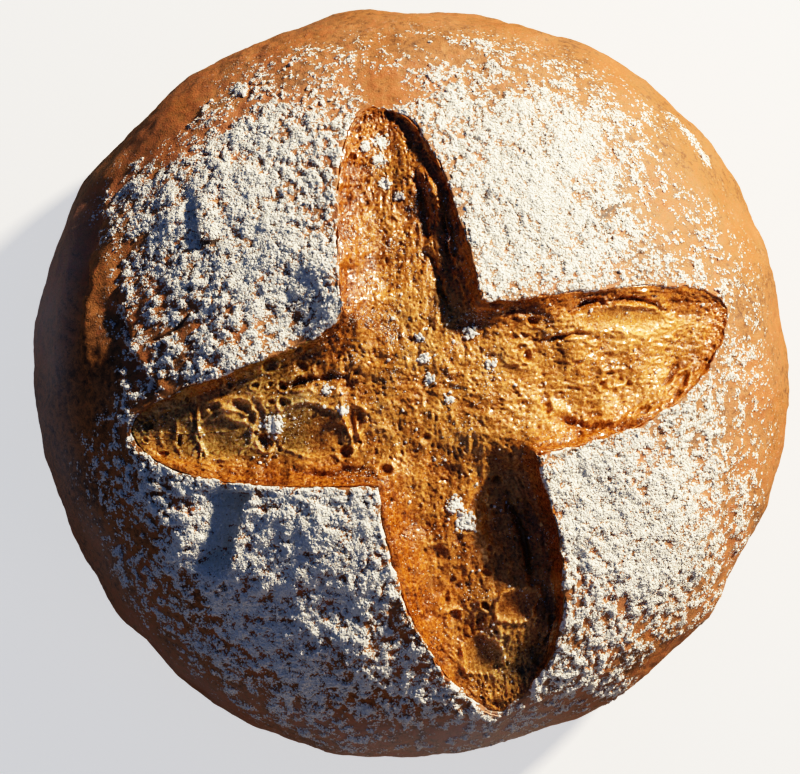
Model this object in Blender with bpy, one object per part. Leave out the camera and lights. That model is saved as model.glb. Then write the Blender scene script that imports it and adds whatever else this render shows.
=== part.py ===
"""A round gluten-free sorghum loaf whose cross-shaped score has opened wide in the oven.

The loaf is one closed solid. It starts as a sphere of rings and columns, and every ring is
carried to its place on the loaf: over the sunken crumb of the open cross, past the crisp edge
of the crust, down the dome to the widest ring, round the lower edge and in under the flat base.
Lengths are in millimetres until the mesh is written. X is to the right, Y is to the back, Z is
up, and the origin is under the middle of the loaf, on the surface that it stands on.
"""

import math

import bmesh
import bpy
import numpy as np

MM = 0.001

# The round body
RIM_RADIUS = 105.0
RIM_HEIGHT = 28.0
DOME_HEIGHT = 92.0
DOME_POWER = 2.1
BASE_RADIUS = 70.0

# Slow waves round the widest ring: how many, how high, and the direction of the first in degrees
RIM_WAVES = ((3, 0.82, 94.0), (4, 0.55, -129.0), (5, 0.40, 167.0))

# The open cross: its middle, the four corners of crust and the four tips of its arms
CROSS_MIDDLE = (4.9, -8.5)
CORNER_NE = (17.4, 14.0)
CORNER_NW = (-17.7, 11.2)
CORNER_SW = (-8.7, -33.2)
CORNER_SE = (31.1, -25.0)
CORNERS = (CORNER_NE, CORNER_NW, CORNER_SW, CORNER_SE)
TIP_E = (83.3, 12.0)
TIP_N = (-8.9, 66.0)
TIP_W = (-73.0, -18.1)
TIP_S = (23.3, -91.1)

# The eight sides of the arms, counter-clockwise: start, two handles that bend it, end
SIDES = (
    (TIP_E, (87.0, 29.2), (29.2, 11.7), CORNER_NE),
    (CORNER_NE, (15.2, 25.0), (5.8, 67.8), TIP_N),
    (TIP_N, (-23.4, 69.0), (-18.8, 19.0), CORNER_NW),
    (CORNER_NW, (-24.3, -2.5), (-72.7, -6.4), TIP_W),
    (TIP_W, (-65.9, -36.0), (-23.9, -32.6), CORNER_SW),
    (CORNER_SW, (-7.4, -51.6), (2.7, -86.1), TIP_S),
    (TIP_S, (47.0, -76.5), (38.7, -46.3), CORNER_SE),
    (CORNER_SE, (52.5, -21.4), (78.5, -12.0), TIP_E),
)

# How deep the crumb lies, and where it lies deeper or shallower: x, y, reach, change
CRUMB_DEPTH = 7.0
DEPTH_CHANGES = (
    (4.9, -8.5, 22.0, -1.6),
    (30.0, -48.0, 24.0, 3.6),
    (-34.0, -12.0, 26.0, 1.2),
    (-8.0, 60.0, 22.0, -2.4),
    (56.0, 10.0, 26.0, -3.6),
)

# How wide the crumb's walls slope on the steep side and on the easy side, which the far wall of
# the right arm is like too
STEEP_WALL = 4.0
EASY_WALL = 12.0
STEEP_SIDE = math.radians(40.0)
GENTLE_X = 55.0
GENTLE_Y = 18.0
GENTLE_REACH = 24.0

# The crust curls up a little at the cut, most at its four corners
LIP_LIFT = 1.2
LIP_REACH = 5.0
CORNER_LIFT = 1.6
CORNER_REACH = 15.0

# Large bubbles in the crumb: x, y, radius, depth
BUBBLES = (
    (-47.6, -20.8, 6.4, 2.4),
    (-26.3, -19.2, 7.5, 1.8),
    (18.2, -76.3, 5.6, 2.4),
    (27.6, -62.3, 5.2, 2.0),
    (53.8, 8.4, 7.0, 1.4),
)

# Unevenness of the crumb and of the crust: waves of this length and height
CRUMB_WAVE = 15.0
CRUMB_WAVE_HEIGHT = 0.7
CRUST_WAVE = 41.0
CRUST_WAVE_HEIGHT = 0.6

# A blistered ledge at the left, where the outer skin has torn, and a crease at the upper left
LEDGE_RADIUS = 84.0
LEDGE_DIRECTION = math.radians(168.0)
LEDGE_HALF_ANGLE = math.radians(18.0)
LEDGE_HEIGHT = 1.6
LEDGE_WIDTH = 9.0
CREASE_X = -56.0
CREASE_Y = 38.0
CREASE_HALF_LENGTH = 9.0
CREASE_WIDTH = 4.5
CREASE_HEIGHT = 1.2

# The lower edge is wavy, because the dough was set down by hand
EDGE_WAVES = 11
EDGE_WAVE_HEIGHT = 0.7

# Rings and columns of the mesh
SIDE_COLUMNS = 15
COLUMNS = SIDE_COLUMNS * len(SIDES)
CUT_RINGS = 18
CRUST_RINGS = 13
SKIRT_RINGS = 8
BASE_RINGS = 2
RINGS = CUT_RINGS + CRUST_RINGS + SKIRT_RINGS + BASE_RINGS

CRUST_COLOUR = "BE6A2C"
CRUST_ROUGHNESS = 0.62


def smooth_step(value):
    """Ease from 0 to 1 as value goes from 0 to 1: 3v^2 - 2v^3."""
    v = np.clip(value, 0.0, 1.0)
    return v * v * (3.0 - 2.0 * v)


def rim_radius(angle):
    """Radius of the widest ring in a direction: the mean radius and its slow waves."""
    radius = np.full_like(angle, RIM_RADIUS)
    for count, height, direction in RIM_WAVES:
        radius += height * np.cos(count * angle - math.radians(direction))
    return radius


def dome(x, y):
    """Height of the uncut dome: rim + (top - rim) * sqrt(1 - (r / rim radius)^power)."""
    share = np.hypot(x, y) / rim_radius(np.arctan2(y, x))
    fall = np.clip(1.0 - share ** DOME_POWER, 0.0, 1.0)
    return RIM_HEIGHT + (DOME_HEIGHT - RIM_HEIGHT) * np.sqrt(fall)


def curve_points(side, count):
    """Points along one side, evenly spaced by length: a cubic curve from its four points."""
    start, first, second, end = (np.array(point) for point in side)
    t = np.linspace(0.0, 1.0, 400)[:, None]
    u = 1.0 - t
    fine = u**3 * start + 3.0 * u * u * t * first + 3.0 * u * t * t * second + t**3 * end
    steps = np.hypot(*np.diff(fine, axis=0).T)
    travelled = np.concatenate(([0.0], np.cumsum(steps)))
    wanted = np.arange(count) / count * travelled[-1]
    return np.column_stack([np.interp(wanted, travelled, fine[:, k]) for k in range(2)])


def cut_outline(per_side):
    """The closed outline of the open cross, counter-clockwise, with every corner and tip on it."""
    return np.concatenate([curve_points(side, per_side) for side in SIDES])


def nearest_edge(x, y, outline):
    """Distance from each point to the outline, and the unit direction towards the nearest place."""
    points = np.column_stack([x, y])[:, None, :]
    start = outline[None, :, :]
    along = np.roll(outline, -1, axis=0)[None, :, :] - start
    share = ((points - start) * along).sum(-1) / (along * along).sum(-1)
    place = start + np.clip(share, 0.0, 1.0)[..., None] * along
    gap = np.linalg.norm(place - points, axis=-1)
    pick = gap.argmin(axis=1)
    rows = np.arange(len(x))
    distance = gap[rows, pick]
    towards = (place[rows, pick] - points[:, 0]) / np.maximum(distance, 1e-6)[:, None]
    return distance, towards


def waves(x, y, length):
    """Uneven swell between -1 and 1: three plane waves that cross at odd angles."""
    k = 2.0 * math.pi / length
    first = np.sin(k * (0.92 * x + 0.39 * y) + 0.7)
    second = np.sin(k * 1.31 * (-0.34 * x + 0.94 * y) + 2.1)
    third = np.sin(k * 0.83 * (0.61 * x - 0.79 * y) + 4.4)
    return (first + second + third) / 3.0


def lift(x, y, distance):
    """How far the crust curls up at the cut: an edge lip, and more at the four corners."""
    height = LIP_LIFT * np.exp(-distance / LIP_REACH)
    for corner_x, corner_y in CORNERS:
        away = np.hypot(x - corner_x, y - corner_y)
        height = height + CORNER_LIFT * np.exp(-((away / CORNER_REACH) ** 2))
    return height


def floor_depth(x, y):
    """Depth of the crumb's floor: the common depth and its bell-shaped changes."""
    depth = np.full_like(x, CRUMB_DEPTH)
    for change_x, change_y, reach, change in DEPTH_CHANGES:
        away = np.hypot(x - change_x, y - change_y) / reach
        depth = depth + change * np.exp(-(away**2))
    return depth


def wall_width(x, y, towards):
    """Width of the crumb's wall: narrow where the edge lies towards the steep side, wide elsewhere."""
    facing = towards[:, 0] * math.cos(STEEP_SIDE) + towards[:, 1] * math.sin(STEEP_SIDE)
    gentle = np.exp(-((np.hypot(x - GENTLE_X, y - GENTLE_Y) / GENTLE_REACH) ** 2))
    steep = smooth_step((facing + 0.35) / 0.9) * (1.0 - gentle)
    return EASY_WALL + (STEEP_WALL - EASY_WALL) * steep


def crumb_sink(x, y, distance, towards):
    """Depth of the crumb under the dome: 0 at the edge, down a curved wall to the floor."""
    down = 1.0 - (1.0 - np.clip(distance / wall_width(x, y, towards), 0.0, 1.0)) ** 2
    sink = (floor_depth(x, y) + CRUMB_WAVE_HEIGHT * waves(x, y, CRUMB_WAVE)) * down
    for bubble_x, bubble_y, radius, depth in BUBBLES:
        share = np.hypot(x - bubble_x, y - bubble_y) / radius
        sink = sink + depth * np.clip(1.0 - share**2, 0.0, 1.0) * down
    return sink


def crust_marks(x, y):
    """Height of the torn ledge at the left and of the crease at the upper left."""
    turn = np.arctan2(y, x) - LEDGE_DIRECTION
    turn = (turn + math.pi) % (2.0 * math.pi) - math.pi
    inward = (LEDGE_RADIUS - np.hypot(x, y)) / LEDGE_WIDTH
    ledge = smooth_step(1.0 + inward * 2.0) * smooth_step(1.0 - inward)
    ledge = ledge * np.clip(1.0 - (turn / LEDGE_HALF_ANGLE) ** 2, 0.0, 1.0)
    across = (x - CREASE_X) / CREASE_WIDTH
    along = (y - CREASE_Y) / CREASE_HALF_LENGTH
    crease = np.exp(-((across - 0.6) ** 2) * 4.0) * np.clip(1.0 - along**2, 0.0, 1.0)
    return LEDGE_HEIGHT * ledge + CREASE_HEIGHT * crease


def cut_surface(x, y, outline):
    """Height of the crumb inside the cross."""
    distance, towards = nearest_edge(x, y, outline)
    return dome(x, y) + lift(x, y, distance) - crumb_sink(x, y, distance, towards)


def crust_surface(x, y, outline):
    """Height of the crust between the cross and the widest ring; relief dies out at that ring."""
    distance, _ = nearest_edge(x, y, outline)
    share = np.hypot(x, y) / rim_radius(np.arctan2(y, x))
    inner = smooth_step((1.0 - share) / 0.12)
    swell = CRUST_WAVE_HEIGHT * waves(x, y, CRUST_WAVE) * smooth_step(distance / 12.0)
    return dome(x, y) + lift(x, y, distance) + (swell + crust_marks(x, y)) * inner


def reach_of_rim(directions):
    """Distance from the middle of the cross to the widest ring along each direction."""
    reach = np.full(len(directions), RIM_RADIUS)
    for _ in range(30):
        x, y = (np.array(CROSS_MIDDLE) + directions * reach[:, None]).T
        reach = reach + rim_radius(np.arctan2(y, x)) - np.hypot(x, y)
    return reach


def loaf_points(ring, column):
    """Place of each vertex from its ring, counted from the top pole, and its column."""
    outline = cut_outline(SIDE_COLUMNS)
    middle = np.array(CROSS_MIDDLE)
    spokes = outline - middle
    cut_reach = np.hypot(*spokes.T)
    spokes = spokes / cut_reach[:, None]
    rim_reach = reach_of_rim(spokes)

    spoke = spokes[column]
    inner = cut_reach[column]
    outer = rim_reach[column]
    rim_place = middle + spoke * outer[:, None]

    in_cut = np.clip(ring / CUT_RINGS, 0.0, 1.0)
    on_crust = np.clip((ring - CUT_RINGS) / CRUST_RINGS, 0.0, 1.0)
    on_skirt = np.clip((ring - CUT_RINGS - CRUST_RINGS) / SKIRT_RINGS, 0.0, 1.0)
    under = np.clip((ring - RINGS + BASE_RINGS) / BASE_RINGS, 0.0, 1.0)

    # On the dome the rings close up towards the steep side
    share = np.sin(on_crust * math.pi / 2.0) ** 0.92
    reach = inner * in_cut + (outer - inner) * share
    place = middle + spoke * reach[:, None]
    x, y = place.T
    height = np.where(ring <= CUT_RINGS, cut_surface(x, y, outline), crust_surface(x, y, outline))

    # Below the widest ring the side turns in along a quarter ellipse to the flat base
    below = ring > CUT_RINGS + CRUST_RINGS
    turn = on_skirt * math.pi / 2.0
    rim = np.hypot(*rim_place.T)
    wave = np.sin(EDGE_WAVES * np.arctan2(rim_place[:, 1], rim_place[:, 0]))
    base = BASE_RADIUS + EDGE_WAVE_HEIGHT * wave * 2.0
    skirt = base + (rim - base) * np.cos(turn) + EDGE_WAVE_HEIGHT * wave * np.sin(2.0 * turn)
    skirt = skirt * (1.0 - under)
    x = np.where(below, rim_place[:, 0] / rim * skirt, x)
    y = np.where(below, rim_place[:, 1] / rim * skirt, y)
    height = np.where(below, RIM_HEIGHT * (1.0 - np.sin(turn)), height)
    return np.column_stack([x, y, height])


def crust_material():
    """Browned crust, matt and dry, in a mid orange brown."""
    material = bpy.data.materials.new("crust")
    material.use_nodes = True
    shader = material.node_tree.nodes["Principled BSDF"]
    channels = [int(CRUST_COLOUR[k : k + 2], 16) / 255.0 for k in (0, 2, 4)]
    linear = [c / 12.92 if c <= 0.04045 else ((c + 0.055) / 1.055) ** 2.4 for c in channels]
    shader.inputs["Base Color"].default_value = (*linear, 1.0)
    shader.inputs["Roughness"].default_value = CRUST_ROUGHNESS
    shader.inputs["Metallic"].default_value = 0.0
    return material


def make_loaf(collection):
    """A sphere of rings and columns, carried to the loaf's form."""
    mesh = bpy.data.meshes.new("loaf")
    shape = bmesh.new()
    bmesh.ops.create_uvsphere(shape, u_segments=COLUMNS, v_segments=RINGS, radius=1.0)
    start = np.array([vertex.co for vertex in shape.verts])
    ring = np.rint(np.arccos(np.clip(start[:, 2], -1.0, 1.0)) / math.pi * RINGS)
    turn = np.arctan2(start[:, 1], start[:, 0]) / (2.0 * math.pi)
    column = np.rint(turn * COLUMNS).astype(int) % COLUMNS
    for vertex, place in zip(shape.verts, loaf_points(ring, column)):
        vertex.co = place * MM
    bmesh.ops.triangulate(shape, faces=shape.faces[:])
    bmesh.ops.recalc_face_normals(shape, faces=shape.faces[:])
    shape.to_mesh(mesh)
    shape.free()
    mesh.shade_smooth()
    mesh.set_sharp_from_angle(angle=math.radians(50.0))
    mesh.materials.append(crust_material())
    collection.objects.link(bpy.data.objects.new("loaf", mesh))


def main():
    for old in list(bpy.data.objects):
        bpy.data.objects.remove(old, do_unlink=True)
    collection = bpy.data.collections.new("sorghum_loaf")
    bpy.context.scene.collection.children.link(collection)
    make_loaf(collection)


main()
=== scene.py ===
# %% [markdown]
# # A floured sorghum loaf with an open cross
#
# The solid that this lesson starts from is a plain one: a dome with a sunken cross in it. Here it is
# dressed as the real loaf. A finely wrinkled crust and a torn, bubbly crumb replace the solid, and
# thousands of loose grains of flour lie on both. Every shape is worked out with numpy from sizes in
# millimetres and is written to a mesh in metres. X is to the right, Y to the back, Z up.

import math

import bpy
import numpy as np
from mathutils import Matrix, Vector


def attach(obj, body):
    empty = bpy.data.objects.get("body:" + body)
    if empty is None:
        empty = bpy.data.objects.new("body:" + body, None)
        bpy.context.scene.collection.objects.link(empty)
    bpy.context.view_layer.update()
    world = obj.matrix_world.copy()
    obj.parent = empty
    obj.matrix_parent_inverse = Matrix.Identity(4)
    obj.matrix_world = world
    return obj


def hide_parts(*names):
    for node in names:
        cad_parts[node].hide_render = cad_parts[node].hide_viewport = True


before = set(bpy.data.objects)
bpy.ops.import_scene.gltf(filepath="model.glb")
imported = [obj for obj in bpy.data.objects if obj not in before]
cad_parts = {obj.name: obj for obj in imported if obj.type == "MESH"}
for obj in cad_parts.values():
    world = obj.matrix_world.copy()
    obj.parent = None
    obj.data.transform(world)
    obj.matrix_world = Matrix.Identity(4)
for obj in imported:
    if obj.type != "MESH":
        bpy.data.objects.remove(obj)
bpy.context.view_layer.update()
MM = 0.001

# %% [markdown]
# ## The round body
#
# A free-standing loaf spreads until its skin holds it. It ends up nearly round, widest a little above
# the board, and domed. The dome could be sculpted, but a formula keeps the crust, the crumb and every
# grain of flour on one and the same surface, so the rest of the lesson can ask for its height anywhere.

# %% Body sizes
RIM_RADIUS = 105.0
RIM_HEIGHT = 28.0
DOME_HEIGHT = 92.0
DOME_POWER = 2.1
# Slow waves of the outline: how many round the loaf, height, direction of the first crest
RIM_WAVES = ((3, 0.82, 94.0), (4, 0.55, -129.0), (5, 0.40, 167.0))


def smooth_step(value):
    """Ease from 0 to 1 as value goes from 0 to 1: 3v^2 - 2v^3."""
    v = np.clip(value, 0.0, 1.0)
    return v * v * (3.0 - 2.0 * v)


def rim_radius(angle):
    """Radius of the widest ring in a direction: the mean radius and its slow waves."""
    radius = np.full_like(angle, RIM_RADIUS)
    for count, height, direction in RIM_WAVES:
        radius += height * np.cos(count * angle - math.radians(direction))
    return radius


def rim_share(x, y):
    """How far out a place is: 0 in the middle and 1 on the widest ring."""
    return np.hypot(x, y) / rim_radius(np.arctan2(y, x))


def dome(x, y):
    """Height of the uncut dome: rim + (top - rim) * sqrt(1 - (r / rim radius)^power)."""
    fall = np.clip(1.0 - rim_share(x, y) ** DOME_POWER, 0.0, 1.0)
    return RIM_HEIGHT + (DOME_HEIGHT - RIM_HEIGHT) * np.sqrt(fall)


def bell(x, y, middle_x, middle_y, reach):
    """A round bell, 1 in its middle: exp(-(distance / reach)^2)."""
    return np.exp(-((np.hypot(x - middle_x, y - middle_y) / reach) ** 2))


def bells(x, y, rows):
    """All the bells of a table added up. A row: x, y, reach, height."""
    return sum(height * bell(x, y, *place) for *place, height in rows)


print("dome, mm above the board at the middle:", dome(np.zeros(1), np.zeros(1))[0])

# %% [markdown]
# ## The open cross
#
# The baker scored a cross, and in the oven the dough burst through it, so each score is now a broad
# leaf-shaped gap. Its outline is eight cubic curves that run from a corner of crust to the tip of an
# arm. Every point of the surface then asks how far it is from that outline: the crust needs this
# outside it and the crumb inside it.

# %% Cross outline
CROSS_MIDDLE = np.array((4.9, -8.5))
CORNER_NE = (17.4, 14.0)
CORNER_NW = (-17.7, 11.2)
CORNER_SW = (-8.7, -33.2)
CORNER_SE = (31.1, -25.0)
CORNERS = (CORNER_NE, CORNER_NW, CORNER_SW, CORNER_SE)
TIP_E = (83.3, 12.0)
TIP_N = (-8.9, 66.0)
TIP_W = (-73.0, -18.1)
TIP_S = (23.3, -91.1)
# Each side: its start, two points that pull the curve, and its end
SIDES = (
    (TIP_E, (87.0, 29.2), (29.2, 11.7), CORNER_NE),
    (CORNER_NE, (15.2, 25.0), (5.8, 67.8), TIP_N),
    (TIP_N, (-23.4, 69.0), (-18.8, 19.0), CORNER_NW),
    (CORNER_NW, (-24.3, -2.5), (-72.7, -6.4), TIP_W),
    (TIP_W, (-65.9, -36.0), (-23.9, -32.6), CORNER_SW),
    (CORNER_SW, (-7.4, -51.6), (2.7, -86.1), TIP_S),
    (TIP_S, (47.0, -76.5), (38.7, -46.3), CORNER_SE),
    (CORNER_SE, (52.5, -21.4), (78.5, -12.0), TIP_E),
)


def curve_points(side, share):
    """Points of one side at the given shares of its length: a cubic curve from its four points."""
    start, first, second, end = (np.array(point) for point in side)
    t = np.linspace(0.0, 1.0, 400)[:, None]
    u = 1.0 - t
    fine = u**3 * start + 3.0 * u * u * t * first + 3.0 * u * t * t * second + t**3 * end
    steps = np.hypot(*np.diff(fine, axis=0).T)
    travelled = np.concatenate(([0.0], np.cumsum(steps)))
    wanted = share * travelled[-1]
    return np.column_stack([np.interp(wanted, travelled, fine[:, k]) for k in range(2)])


def cut_outline(per_side):
    """The closed outline of the open cross, counter-clockwise."""
    share = np.arange(per_side) / per_side
    return np.concatenate([curve_points(side, share) for side in SIDES])


def nearest_edge(x, y, per_side=36, batch=6000):
    """For each point: distance to the outline, unit direction to it, and millimetres along it.

    The nearest place on every short piece of the outline is found by projection, and the
    closest of them is kept. The points are taken in batches to spare memory.
    """
    start = cut_outline(per_side)
    along = np.roll(start, -1, axis=0) - start
    length = np.hypot(*along.T)
    travelled = np.concatenate(([0.0], np.cumsum(length)))[:-1]
    results = []
    for first in range(0, len(x), batch):
        point = np.column_stack([x[first : first + batch], y[first : first + batch]])
        reach = point[:, None, :] - start
        share = np.clip((reach * along).sum(-1) / length**2, 0.0, 1.0)
        gap = np.hypot(*np.moveaxis(reach - share[..., None] * along, -1, 0))
        pick = gap.argmin(axis=1)
        rows = np.arange(len(point))
        share = share[rows, pick]
        place = start[pick] + share[:, None] * along[pick]
        distance = gap[rows, pick]
        towards = (place - point) / np.maximum(distance, 1e-6)[:, None]
        results.append(np.column_stack([distance, towards, travelled[pick] + share * length[pick]]))
    distance, toward_x, toward_y, travel = np.concatenate(results).T
    return distance, np.column_stack([toward_x, toward_y]), travel


outline_length = np.hypot(*(np.roll(cut_outline(60), -1, axis=0) - cut_outline(60)).T).sum()
print("length of the crust's cut edge, mm:", round(outline_length, 1))

# %% [markdown]
# ## Crust lip, crumb walls and floor
#
# The crust curls up a little where it tore, most at the four corners. Inside, the crumb falls away from
# the edge. On two sides of each arm it drops almost straight and on the other two it slopes, because
# the loaf leaned as it opened. The lip, the walls and the common depth are the formulas of the solid,
# so both agree. The flatter lip of one leaf, the swells and the pit are only here, since each is small
# beside the loaf.

# %% Lip and sink
CRUMB_DEPTH = 7.0
# Where the crumb lies deeper or shallower, as in the solid: x, y, reach, change
DEPTH_CHANGES = (
    (4.9, -8.5, 22.0, -1.6),
    (30.0, -48.0, 24.0, 3.6),
    (-34.0, -12.0, 26.0, 1.2),
    (-8.0, 60.0, 22.0, -2.4),
    (56.0, 10.0, 26.0, -3.6),
)
# Where the crumb that is seen swells up above the solid's: x, y, reach, rise
CRUMB_SWELLS = (
    (2.0, 57.0, 14.0, 2.6),
    (6.0, 44.0, 7.0, 3.0),
    (8.0, 30.0, 7.0, 2.4),
    (12.5, -46.5, 6.5, 2.6),
    (38.0, 13.5, 13.0, 2.8),
    (-48.0, -13.0, 20.0, 3.2),
    (-64.0, -18.0, 10.0, 2.8),
    (-26.0, -7.0, 12.0, 1.6),
    (22.0, -18.5, 8.0, 2.6),
    (29.0, -60.5, 8.0, 4.2),
    (28.5, -71.5, 9.0, 4.2),
    (19.0, -77.0, 8.0, 1.0),
)
# The pit in the lower arm: left and upper border, width of its walls, lower end, slope there, depth
PIT_LEFT = 16.0
PIT_TOP = -25.0
PIT_WALL = 3.5
PIT_END = -58.0
PIT_SLOPE = 10.0
PIT_DEPTH = 2.2
STEEP_WALL = 4.0
EASY_WALL = 12.0
STEEP_SIDE = math.radians(40.0)
# Where no wall is steep: x, y, reach
GENTLE = (55.0, 18.0, 24.0)
LIP_LIFT = 1.2
LIP_REACH = 5.0
CORNER_LIFT = 1.6
CORNER_REACH = 15.0
# The leaf that hardly curls: its direction and spread in degrees, and the share of the lift it loses
LOW_LEAF = 234.0
LOW_LEAF_SPREAD = 48.0
LOW_LEAF_CUT = 0.85
CRUMB_WAVE = 15.0
CRUMB_WAVE_HEIGHT = 0.7
# Broad swells and hollows that the crust and the crumb beside it share: x, y, reach, height
SWELLS = (
    (-64.0, -45.0, 16.0, 3.2),
    (-32.0, -51.0, 12.0, 1.5),
    (-38.0, -66.0, 10.0, -0.8),
    (-15.0, -77.0, 8.0, 1.3),
    (0.0, -91.0, 6.0, 0.8),
    (22.0, -95.0, 9.0, 0.9),
    (52.0, -80.0, 10.0, 0.8),
    (-30.0, 9.0, 12.0, -4.2),
    (-30.0, 24.0, 8.0, 1.6),
    (-64.0, -28.5, 2.8, 1.2),
    (-2.0, -65.5, 4.0, 1.7),
    (1.5, -75.0, 4.0, 1.4),
    (-16.0, 12.5, 4.0, 0.8),
    (33.5, -28.0, 4.0, 0.8),
    (14.0, 20.0, 5.0, 0.7),
)


def waves(x, y, length):
    """Uneven swell between -1 and 1: three plane waves that cross at odd angles."""
    k = 2.0 * math.pi / length
    first = np.sin(k * (0.92 * x + 0.39 * y) + 0.7)
    second = np.sin(k * 1.31 * (-0.34 * x + 0.94 * y) + 2.1)
    third = np.sin(k * 0.83 * (0.61 * x - 0.79 * y) + 4.4)
    return (first + second + third) / 3.0


def lift(x, y, distance):
    """How far the crust curls up at the cut: an edge lip, and more at the four corners.

    The low leaf of crust hardly curls: there the lift is cut down, by a bell in direction.
    """
    height = LIP_LIFT * np.exp(-distance / LIP_REACH)
    for corner in CORNERS:
        height = height + CORNER_LIFT * bell(x, y, *corner, CORNER_REACH)
    turn = np.degrees(np.arctan2(y - CROSS_MIDDLE[1], x - CROSS_MIDDLE[0])) % 360.0
    return height * (1.0 - LOW_LEAF_CUT * np.exp(-(((turn - LOW_LEAF) / LOW_LEAF_SPREAD) ** 4)))


def floor_depth(x, y):
    """Depth of the crumb's floor: the common depth, its changes, less the swells, and the pit."""
    depth = CRUMB_DEPTH + bells(x, y, DEPTH_CHANGES) - bells(x, y, CRUMB_SWELLS)
    pit = smooth_step((x - PIT_LEFT) / PIT_WALL) * smooth_step((PIT_TOP - y) / PIT_WALL)
    return depth + PIT_DEPTH * pit * smooth_step((y - PIT_END) / PIT_SLOPE)


def wall_width(x, y, towards):
    """Width of the crumb's wall: narrow where the edge lies towards the steep side, wide elsewhere."""
    facing = towards[:, 0] * math.cos(STEEP_SIDE) + towards[:, 1] * math.sin(STEEP_SIDE)
    steep = smooth_step((facing + 0.35) / 0.9) * (1.0 - bell(x, y, *GENTLE))
    return EASY_WALL + (STEEP_WALL - EASY_WALL) * steep


def crumb_sink(x, y, distance, towards):
    """Depth of the crumb under the dome: 0 at the edge, down a curved wall to the floor."""
    down = 1.0 - (1.0 - np.clip(distance / wall_width(x, y, towards), 0.0, 1.0)) ** 2
    return (floor_depth(x, y) + CRUMB_WAVE_HEIGHT * waves(x, y, CRUMB_WAVE)) * down, down


test_x = np.array([CROSS_MIDDLE[0], PIT_LEFT + PIT_WALL])
test_y = np.array([CROSS_MIDDLE[1], PIT_TOP - PIT_WALL])
print("floor under the dome, mm, in the middle and in the pit:", floor_depth(test_x, test_y).round(1))

# %% [markdown]
# ## Random but repeatable unevenness
#
# Baked dough is uneven at every scale. Two kinds of randomness are enough: smooth lattice noise for
# swells, skin and browning, and scattered round pits for bubbles. Both take their random numbers from
# a fixed mixing of whole numbers, so the loaf comes out the same each time.


# %% Noise and bubbles
def lattice_number(x, y, z, seed):
    """A fixed random number from 0 to 1 for each lattice corner, by mixing whole numbers."""
    mixed = (x * 374761393 + y * 668265263 + z * 1274126177 + seed * 974634777) & 0xFFFFFFFF
    mixed = ((mixed ^ (mixed >> 13)) * 1103515245) & 0xFFFFFFFF
    mixed = ((mixed ^ (mixed >> 15)) * 1181783497) & 0xFFFFFFFF
    return ((mixed ^ (mixed >> 16)) & 0xFFFFFF) / 0xFFFFFF


def noise(points, size, seed):
    """Smooth unevenness from -1 to 1 with lumps of the given size: eased lattice numbers."""
    place = points / size
    corner = np.floor(place).astype(np.int64)
    part = place - corner
    ease = part**3 * (part * (part * 6.0 - 15.0) + 10.0)
    total = np.zeros(len(points))
    for step in np.ndindex(2, 2, 2):
        weight = np.where(np.array(step), ease, 1.0 - ease).prod(axis=1)
        total += weight * lattice_number(*(corner + np.array(step)).T, seed)
    return total * 2.0 - 1.0


def layers(points, *rows):
    """Noise of several sizes added up. A row: height, size, seed."""
    return sum(height * noise(points, size, seed) for height, size, seed in rows)


def plane(x, y):
    """Points at no height, so that the noise can be asked for over a flat place."""
    return np.column_stack([x, y, np.zeros_like(x)])


def fibres(u, v, *rows):
    """Streaks drawn out along u. A row: height, how far drawn out, width, seed."""
    return sum(height * noise(plane(u / stretch, v), width, seed) for height, stretch, width, seed in rows)


def bubbles(x, y, pitch, small, large, fill, seed):
    """Scattered round bowls, one or none to each square of the pitch.

    A bowl of radius r is (1 - (d / r)^2) at distance d from its middle. Returns the deepest
    bowl at each point, in millimetres, and how close the point is to a bowl's rim, 0 to 1.
    """
    column = np.floor(x / pitch).astype(np.int64)
    row = np.floor(y / pitch).astype(np.int64)
    bowl = np.zeros_like(x)
    rim = np.zeros_like(x)
    for step_x, step_y in np.ndindex(3, 3):
        i = column + step_x - 1
        j = row + step_y - 1
        draw = [lattice_number(i, j, np.full_like(i, k), seed) for k in range(4)]
        middle_x = (i + 0.15 + 0.7 * draw[0]) * pitch
        middle_y = (j + 0.15 + 0.7 * draw[1]) * pitch
        radius = small + (large - small) * draw[2] ** 2
        away = np.hypot(x - middle_x, y - middle_y) / radius
        there = draw[3] < fill
        bowl = np.maximum(bowl, there * np.clip(1.0 - away**2, 0.0, 1.0) * radius)
        rim = np.maximum(rim, there * np.exp(-(((away - 1.05) / 0.2) ** 2)))
    return bowl, rim


test = noise(plane(np.linspace(0.0, 99.0, 999), np.zeros(999)), 3.0, 1)
print("noise runs from", round(test.min(), 2), "to", round(test.max(), 2))

# %% [markdown]
# ## From arrays to a mesh
#
# Each surface is an array of points and an array of four-cornered faces. Normals are summed from the
# faces, so that relief can be pushed in and out along them, on walls as well as on the flat.


# %% Mesh helpers
def point_normals(points, quads):
    """Unit normal at each point: the cross products of the faces' diagonals, summed."""
    a, b, c, d = (points[quads[:, k]] for k in range(4))
    face = np.cross(c - a, d - b)
    normal = np.zeros_like(points)
    for k in range(4):
        for axis in range(3):
            normal[:, axis] += np.bincount(quads[:, k], face[:, axis], minlength=len(points))
    return normal / np.maximum(np.linalg.norm(normal, axis=1), 1e-12)[:, None]


def add_object(name, data):
    """A new object at the origin that shows the given mesh, lamp or camera."""
    made = bpy.data.objects.new(name, data)
    bpy.context.scene.collection.objects.link(made)
    return made


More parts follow.
